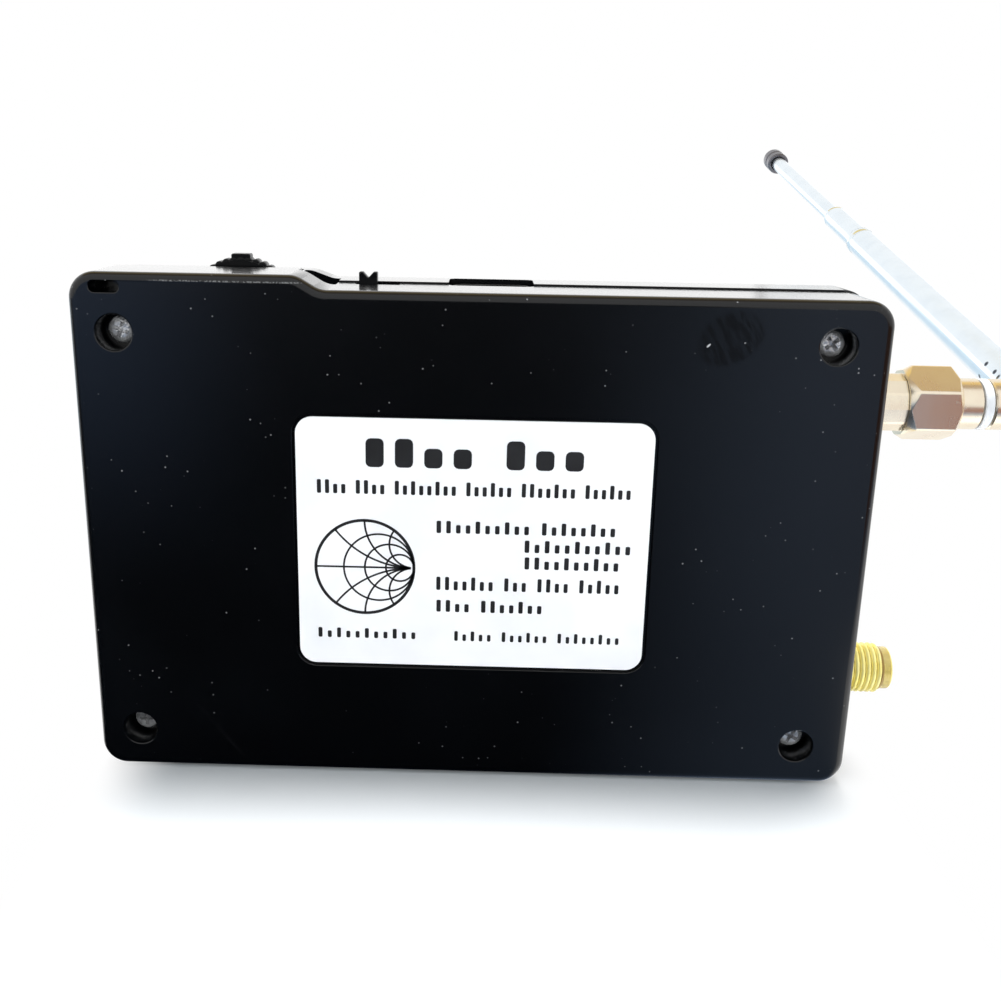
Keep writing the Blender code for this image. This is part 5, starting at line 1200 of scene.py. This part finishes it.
def tongue_and_tube():
    """The rod's outer section with the elbow's tongue: a spun tube, and a flat eye at the pin."""
    radius, inside = ROD_RADIUS, 0.0022
    profile = [(0.0055, 0.0), (0.0055, inside), (0.0696, inside), (0.0700, 0.00222), (0.0700, 0.0023),
               (0.0698, radius), (0.0688, radius), (0.0686, radius - 0.00012), (0.0680, radius - 0.00012),
               (0.0678, radius),
               (0.0062, radius), (0.0060, radius - 0.00015), (0.0054, radius - 0.00015), (0.0052, radius),
               (0.0038, radius), (0.0035, radius - 0.0003), (0.0035, 0.0)]
    eye, half_width, half_thickness = 0.0025, 0.0019, 0.0010
    neck = math.asin(half_width / eye)
    angle = math.pi / 2 + neck + (math.tau - 2 * neck) * np.linspace(0, 1, 64)
    loop = np.concatenate([[(half_width, 0.0045), (-half_width, 0.0045)],
                           np.stack([eye * np.cos(angle), eye * np.sin(angle)], axis=1)])
    tongue = [PIVOT + loop[:, :1] * (1.0, 0, 0) + loop[:, 1:] * ROD_AXIS + level * ROD_ACROSS
              for level in (-half_thickness, half_thickness)]
    return carved(on_rod(profile), (skin(np.array(tongue)),), (pin_hole(0.004),))


class ANALYZER_OT_antenna_joint(bpy.types.Operator):
    """Build the antenna's coupling nut, barrel, ring, fork and pin"""

    bl_idname = "analyzer.antenna_joint"
    bl_label = "Antenna joint"

    def execute(self, context):
        metal = context.scene.analyzer_metal
        pale = plated("pale gold plate", metal.pale_gold_colour, metal.rose_colour, 0.2)
        nickel = plated("bright nickel plate", metal.nickel_colour, (0.72, 0.76, 0.82), 0.16)
        white = mottled("white insulating ring", (0.72, 0.73, 0.74), (0.66, 0.67, 0.69), 0.4, 1500.0)
        finished("coupling_nut", coupling_nut(metal), "antenna_nut", pale, "antenna_nut")
        barrel = [(0.01115, 0.0), (0.01115, 0.0019), (0.00715, 0.0019), (0.00715, 0.00305),
                  (0.00965, 0.00305), (0.00965, 0.00265), (0.01085, 0.00265), (0.01085, 0.00290),
                  (0.01100, 0.00305), (0.01330, 0.00305), (0.01345, 0.00290), (0.01345, 0.0015),
                  (0.01565, 0.0015), (0.01565, 0.0)]
        finished("plug_barrel", on_port(barrel, UPPER_PORT_Z), "antenna_plug", pale,
                 "antenna_plug_body")
        ring_profile = [(0.01360, 0.00165), (0.01360, 0.00294), (0.01370, 0.00304), (0.01455, 0.00304),
                        (0.01465, 0.00294), (0.01465, 0.00165)]
        finished("insulating_ring", on_port(ring_profile, UPPER_PORT_Z), "antenna_plug",
                 white, "antenna_ring")
        finished("elbow_fork", elbow_fork(), "antenna_swivel", pale, "swivel_fork")
        rivet = eased([(-0.0029, 0.0), (-0.0029, PIN_RADIUS), (0.0029, PIN_RADIUS), (0.0029, 0.0)], 0.00015)
        finished("elbow_rivet", turned(rivet, PIVOT, ROD_ACROSS, (1, 0, 0), 32), "antenna_swivel",
                 nickel, "elbow_pin")
        return {"FINISHED"}


class ANALYZER_OT_antenna_rod(bpy.types.Operator):
    """Build the three telescopic sections and the tip"""

    bl_idname = "analyzer.antenna_rod"
    bl_label = "Telescopic rod"

    def execute(self, context):
        metal = context.scene.analyzer_metal
        turn = (ROD_RISE, 0, math.pi / 2)
        # Places of the crimp dents, where the tube gets spots of painted shade
        dents = []
        for reach, degrees in CRIMP_DENTS:
            lean = math.radians(degrees)
            spoke = np.array((math.cos(lean), 0, 0)) + ROD_ACROSS * math.sin(lean)
            dents.append(tuple(PIVOT + ROD_AXIS * reach + spoke * ROD_RADIUS))
        nickel = plated("bright nickel tube", metal.nickel_colour, (0.78, 0.86, 0.93), 0.14, turn=turn,
                        dents=dents)
        finished("outer_section", tongue_and_tube(), "outer_tube", nickel, "outer_tube")
        middle = [(0.0215, 0.0018), (0.0215, 0.00205), (0.0848, 0.00205), (0.0850, 0.00195),
                  (0.0854, 0.00195), (0.0856, 0.00205), (0.0859, 0.0020), (0.0860, 0.0019), (0.0860, 0.0018)]
        finished("middle_section", on_rod(middle), "middle_tube", nickel, "middle_tube")
        inner = [(0.0760, 0.00125), (0.0760, 0.0015), (0.1360, 0.0015), (0.1360, 0.00125)]
        finished("inner_section", on_rod(inner), "inner_rod", nickel, "inner_rod")
        dome = [(0.13730 + 0.00115 * math.sin(a), 0.00228 * math.cos(a))
                for a in np.linspace(0, math.pi / 2, 12)]
        dome[-1] = (0.13845, 0.0)
        tip = [(0.1363, 0.0), (0.1363, 0.00165), (0.1325, 0.00165), (0.1325, 0.0020), (0.1328, 0.00228),
               (0.1345, 0.00228), (0.1347, 0.0021), (0.1352, 0.0021), (0.1354, 0.00228), *dome]
        dark_tip = plated("dull tip plate", (0.20, 0.20, 0.22), (0.14, 0.14, 0.16), 0.3, turn=turn)
        finished("rod_tip", on_rod(tip), "inner_rod", dark_tip, "tip_cap")
        return {"FINISHED"}


# Pieces inside the case; a row is the finish's name, its two colours (None for the setting's steel),
# roughness, grain, the nodes that have it, and what else differs from a plain surface
INNER_FINISHES = (
    ("green board", (0.012, 0.075, 0.035), (0.018, 0.095, 0.045), 0.35, 700.0, "main_board", {}),
    ("chip resin", (0.018, 0.018, 0.02), (0.028, 0.028, 0.03), 0.5, 3000.0,
     "mixer_chip_upper mixer_chip_lower mixer_chip_middle clock_chip processor_chip power_chip", {}),
    ("tinned steel", None, (0.5, 0.5, 0.49), 0.3, 1200.0,
     "crystal_can shield_can_upper shield_can_lower power_switch_body", {"metallic": 1.0}),
    ("lamp resin", (0.75, 0.72, 0.55), (0.7, 0.66, 0.5), 0.25, 2000.0, "status_lamp", {}),
    ("dark screen", (0.012, 0.013, 0.016), (0.016, 0.017, 0.021), 0.1, 60.0, "touch_panel display_panel",
     {"depth": 0.000001}),
    ("white backlight", (0.7, 0.7, 0.68), (0.66, 0.66, 0.64), 0.4, 800.0, "backlight_unit", {}),
    ("black foam", (0.03, 0.03, 0.03), (0.05, 0.05, 0.05), 0.9, 2600.0,
     "foam_pad_port_side foam_pad_wheel_side", {"depth": 0.00005}),
    ("amber ribbon", (0.5, 0.22, 0.05), (0.42, 0.18, 0.04), 0.3, 500.0, "display_ribbon", {}),
    ("ivory moulding", (0.72, 0.68, 0.56), (0.66, 0.62, 0.5), 0.45, 1500.0,
     "ribbon_socket battery_socket jog_carriage", {}),
    ("grey tape", (0.55, 0.55, 0.53), (0.5, 0.5, 0.48), 0.8, 2200.0, "battery_pad", {"depth": 0.00003}),
    ("battery foil", (0.62, 0.63, 0.65), (0.56, 0.57, 0.59), 0.32, 500.0, "battery_cell", {"metallic": 0.7}),
    ("red insulation", (0.5, 0.015, 0.015), (0.42, 0.01, 0.01), 0.45, 1500.0, "battery_lead_red", {}),
    ("black insulation", (0.01, 0.01, 0.01), (0.02, 0.02, 0.02), 0.45, 1500.0, "battery_lead_black", {}),
    ("matt black moulding", (0.02, 0.02, 0.02), (0.03, 0.03, 0.03), 0.5, 2500.0,
     "jog_switch_body usb_socket_tongue", {}),
    ("blackened steel", (0.012, 0.012, 0.013), (0.02, 0.02, 0.02), 0.6, 2000.0, "usb_socket_shell", {}),
)


class ANALYZER_OT_inner_parts(bpy.types.Operator):
    """Finish the board, chips, display, battery and sockets inside the case"""

    bl_idname = "analyzer.inner_parts"
    bl_label = "Inner parts"

    def execute(self, context):
        steel = tuple(context.scene.analyzer_metal.steel_colour)
        for name, colour, *rest, nodes, others in INNER_FINISHES:
            repaint(mottled(name, colour or steel, *rest, **others), *nodes.split())
        return {"FINISHED"}


# Stage

def staged(name, mesh, material):
    """Link a mesh that belongs to the stage."""
    item = linked(name, mesh)
    mesh.materials.append(material)
    return item


def floor(size, height, colour):
    """A flat square sheet of floor."""
    half = size / 2
    mesh = bpy.data.meshes.new("floor")
    square = ((-half, -half), (half, -half), (half, half), (-half, half))
    mesh.from_pydata([(x, y, height) for x, y in square], [], [(0, 1, 2, 3)])
    staged("floor", mesh, floor_material(colour))


def floor_material(colour):
    """A floor that is plain white farther off and past the case's ends, and keeps the shadow between."""
    finish = Finish("plain floor", colour, 0.75, Specular_IOR_Level=0.1)
    light = finish.node("ShaderNodeEmission", {}, {"Color": (1, 1, 1, 1), "Strength": 1.0})
    x, y, _ = finish.axes()
    near = (x * x + y * y).below(0.02, 0.10) * x.above(-0.051, -0.040) * x.below(0.036, 0.047)
    lit = Signal(finish, finish.shader.outputs[0])
    factor = finish.seen_plainly() * (1.0 - near)
    mixed = finish.node("ShaderNodeMixShader", {}, {0: factor, 1: lit, 2: light})
    finish.plug(finish.nodes["Material Output"].inputs["Surface"], mixed)
    return finish.material


def white_sky(strength):
    """An even white world: plain white to the camera, softer as light."""
    world = bpy.data.worlds.new("white surroundings")
    bpy.context.scene.world = world
    world.use_nodes = True
    world.node_tree.nodes.clear()
    sky = Tree(world.node_tree)
    as_light = sky.node("ShaderNodeBackground", {}, {"Color": SKY_COLOUR, "Strength": strength})
    as_white = sky.node("ShaderNodeBackground", {}, {"Color": (1, 1, 1, 1), "Strength": 1.0})
    mixed = sky.node("ShaderNodeMixShader", {}, {0: sky.seen_plainly(), 1: as_light, 2: as_white})
    sky.node("ShaderNodeOutputWorld", {}, {"Surface": mixed})


def lamp(name, place, target, size, power):
    """A large soft lamp aimed at a point, and not mirrored: the cards are what metal shows."""
    data = bpy.data.lights.new(name, "AREA")
    data.shape = "DISK"
    data.size = size
    data.energy = power
    item = linked(name, data)
    item.location = place
    item.visible_glossy = False
    item.rotation_euler = (Vector(target) - Vector(place)).to_track_quat("-Z", "Y").to_euler()


def card(name, low, high, colour, strength=1.0):
    """A box with a plain glow that only mirrors see, as a wall or a person would show in metal."""
    finish = Finish(name, (0.0, 0.0, 0.0), 1.0, Specular_IOR_Level=0.0, Emission_Strength=strength)
    finish.feed(**{"Emission Color": (*colour, 1.0)})
    reflected_only(name, solid_box(low, high), finish)


def reflected_only(name, mesh, finish):
    """Link a stage mesh that casts no shadow and that only mirrors see."""
    item = staged(name, mesh, finish.material)
    for rays in ("camera", "diffuse", "shadow", "transmission"):
        setattr(item, f"visible_{rays}", False)


def graded_card(settings):
    """A sheet lying before the object, for reflections only: dark before its middle, blue-grey to both ends.

    The upright rear face shows the camera, at its place (x, z), the sheet's point x (1 + t), d t, where d is
    the camera's distance and t = z / (camera height - z). The shader turns each point back into that x, z."""
    finish = Finish("graded card", (0.0, 0.0, 0.0), 1.0, Specular_IOR_Level=0.0, Emission_Strength=1.6)
    x, y, _ = finish.axes(centre=(0, REAR_FACE, 0))
    t = y / CAMERA_DISTANCE
    across, height = x / (t + 1.0), t * settings.camera_height / (t + 1.0)
    port_side = across.below(-0.041, -0.006) * (height.above(0.008, 0.048) * 0.4 + 0.6)
    wheel_side = across.above(0.022, 0.046) * height.above(0.022, 0.064)
    below_ports = across.below(-0.0465, -0.044) * height.below(0.012, 0.024)
    beside_nut = across.below(-0.0495, -0.0475) * height.above(0.022, 0.034)
    colour = finish.mix(settings.dark_reflection, settings.port_side_reflection, port_side)
    colour = finish.mix(colour, settings.wheel_side_reflection, wheel_side)
    colour = finish.mix(colour, settings.nut_reflection, beside_nut)
    colour = finish.mix(colour, (1.0, 1.0, 1.0), below_ports)
    finish.feed(**{"Emission Color": colour})
    mesh = solid_box((-0.9, REAR_FACE - 0.0012, 0.0002), (0.7, 0.95, 0.0004))
    reflected_only("graded_card", mesh, finish)


def camera(height):
    """The camera at the photograph's place, angle and lens."""
    data = bpy.data.cameras.new("photo camera")
    data.sensor_width = SENSOR_WIDTH
    data.lens = LENS
    data.shift_x, data.shift_y = LENS_SHIFT
    data.clip_start = CLIP_START
    item = linked("photo camera", data)
    forward = Vector(CAMERA_FORWARD).normalized()
    right = forward.cross(Vector(CAMERA_UP)).normalized()
    turn = Matrix((right, right.cross(forward), -forward)).transposed()
    item.matrix_world = Matrix.Translation((CAMERA_X, REAR_FACE + CAMERA_DISTANCE, height)) @ turn.to_4x4()
    bpy.context.scene.camera = item


class ANALYZER_OT_stage(bpy.types.Operator):
    """Set the pale floor, the soft light and the camera"""

    bl_idname = "analyzer.stage"
    bl_label = "Stage"

    def execute(self, context):
        settings = context.scene.analyzer_stage
        context.scene.view_settings.view_transform = "Standard"
        floor(12.0, -0.00002, settings.floor_colour)
        white_sky(settings.sky_strength)
        middle = (0.0, 0.0, 0.03)
        lamp("key lamp", (-0.03, -0.20, 0.93), middle, 0.5, settings.key_power)
        lamp("fill lamp", (-0.35, 0.75, 0.19), middle, 0.3, settings.fill_power)
        graded_card(settings)
        card("far_dark_card", (-0.25, 0.95, 0.0), (0.25, 0.96, 0.14), (0.05, 0.055, 0.07))
        card("ceiling_card", (-0.6, -0.16, 0.60), (0.6, 0.08, 0.61), (0.46, 0.36, 0.26))
        card("warm_card", (-0.6, -0.45, 0.60), (0.6, -0.16, 0.61), (0.90, 0.68, 0.28))
        card("blue_floor_card", (-0.05, -0.90, 0.0002), (0.6, -0.05, 0.0004), (0.70, 0.82, 0.90))
        card("back_card", (-1.0, -1.11, 0.0), (1.0, -1.10, 0.28), (1.0, 1.0, 1.0), 1.45)
        camera(settings.camera_height)
        return {"FINISHED"}


class ANALYZER_PT_pieces(bpy.types.Panel):
    """Lists the operators in the order in which they run"""

    bl_label = "Network analyzer"
    bl_idname = "ANALYZER_PT_pieces"
    bl_space_type = "VIEW_3D"
    bl_region_type = "UI"
    bl_category = "Analyzer"

    def draw(self, context):
        for operator in OPERATORS:
            self.layout.operator(operator.bl_idname)
        for name in SETTINGS:
            group = getattr(context.scene, name)
            box = self.layout.box()
            for prop in group.bl_rna.properties:
                if not prop.is_readonly and prop.identifier != "name":
                    box.prop(group, prop.identifier)


OPERATORS = (ANALYZER_OT_case, ANALYZER_OT_label, ANALYZER_OT_screws, ANALYZER_OT_controls, ANALYZER_OT_ports,
             ANALYZER_OT_antenna_joint, ANALYZER_OT_antenna_rod, ANALYZER_OT_inner_parts, ANALYZER_OT_stage)
SETTINGS = {"analyzer_case": AnalyzerCaseSettings, "analyzer_label": AnalyzerLabelSettings,
            "analyzer_metal": AnalyzerMetalSettings, "analyzer_stage": AnalyzerStageSettings}


def register():
    for group in SETTINGS.values():
        bpy.utils.register_class(group)
    for name, group in SETTINGS.items():
        setattr(bpy.types.Scene, name, PointerProperty(type=group))
    for operator in OPERATORS:
        bpy.utils.register_class(operator)
    bpy.utils.register_class(ANALYZER_PT_pieces)


def unregister():
    bpy.utils.unregister_class(ANALYZER_PT_pieces)
    for operator in reversed(OPERATORS):
        bpy.utils.unregister_class(operator)
    for name, group in SETTINGS.items():
        delattr(bpy.types.Scene, name)
        bpy.utils.unregister_class(group)


def main():
    register()
    for operator in OPERATORS:
        group, action = operator.bl_idname.split(".")
        getattr(getattr(bpy.ops, group), action)()


if __name__ == "__main__":
    main()
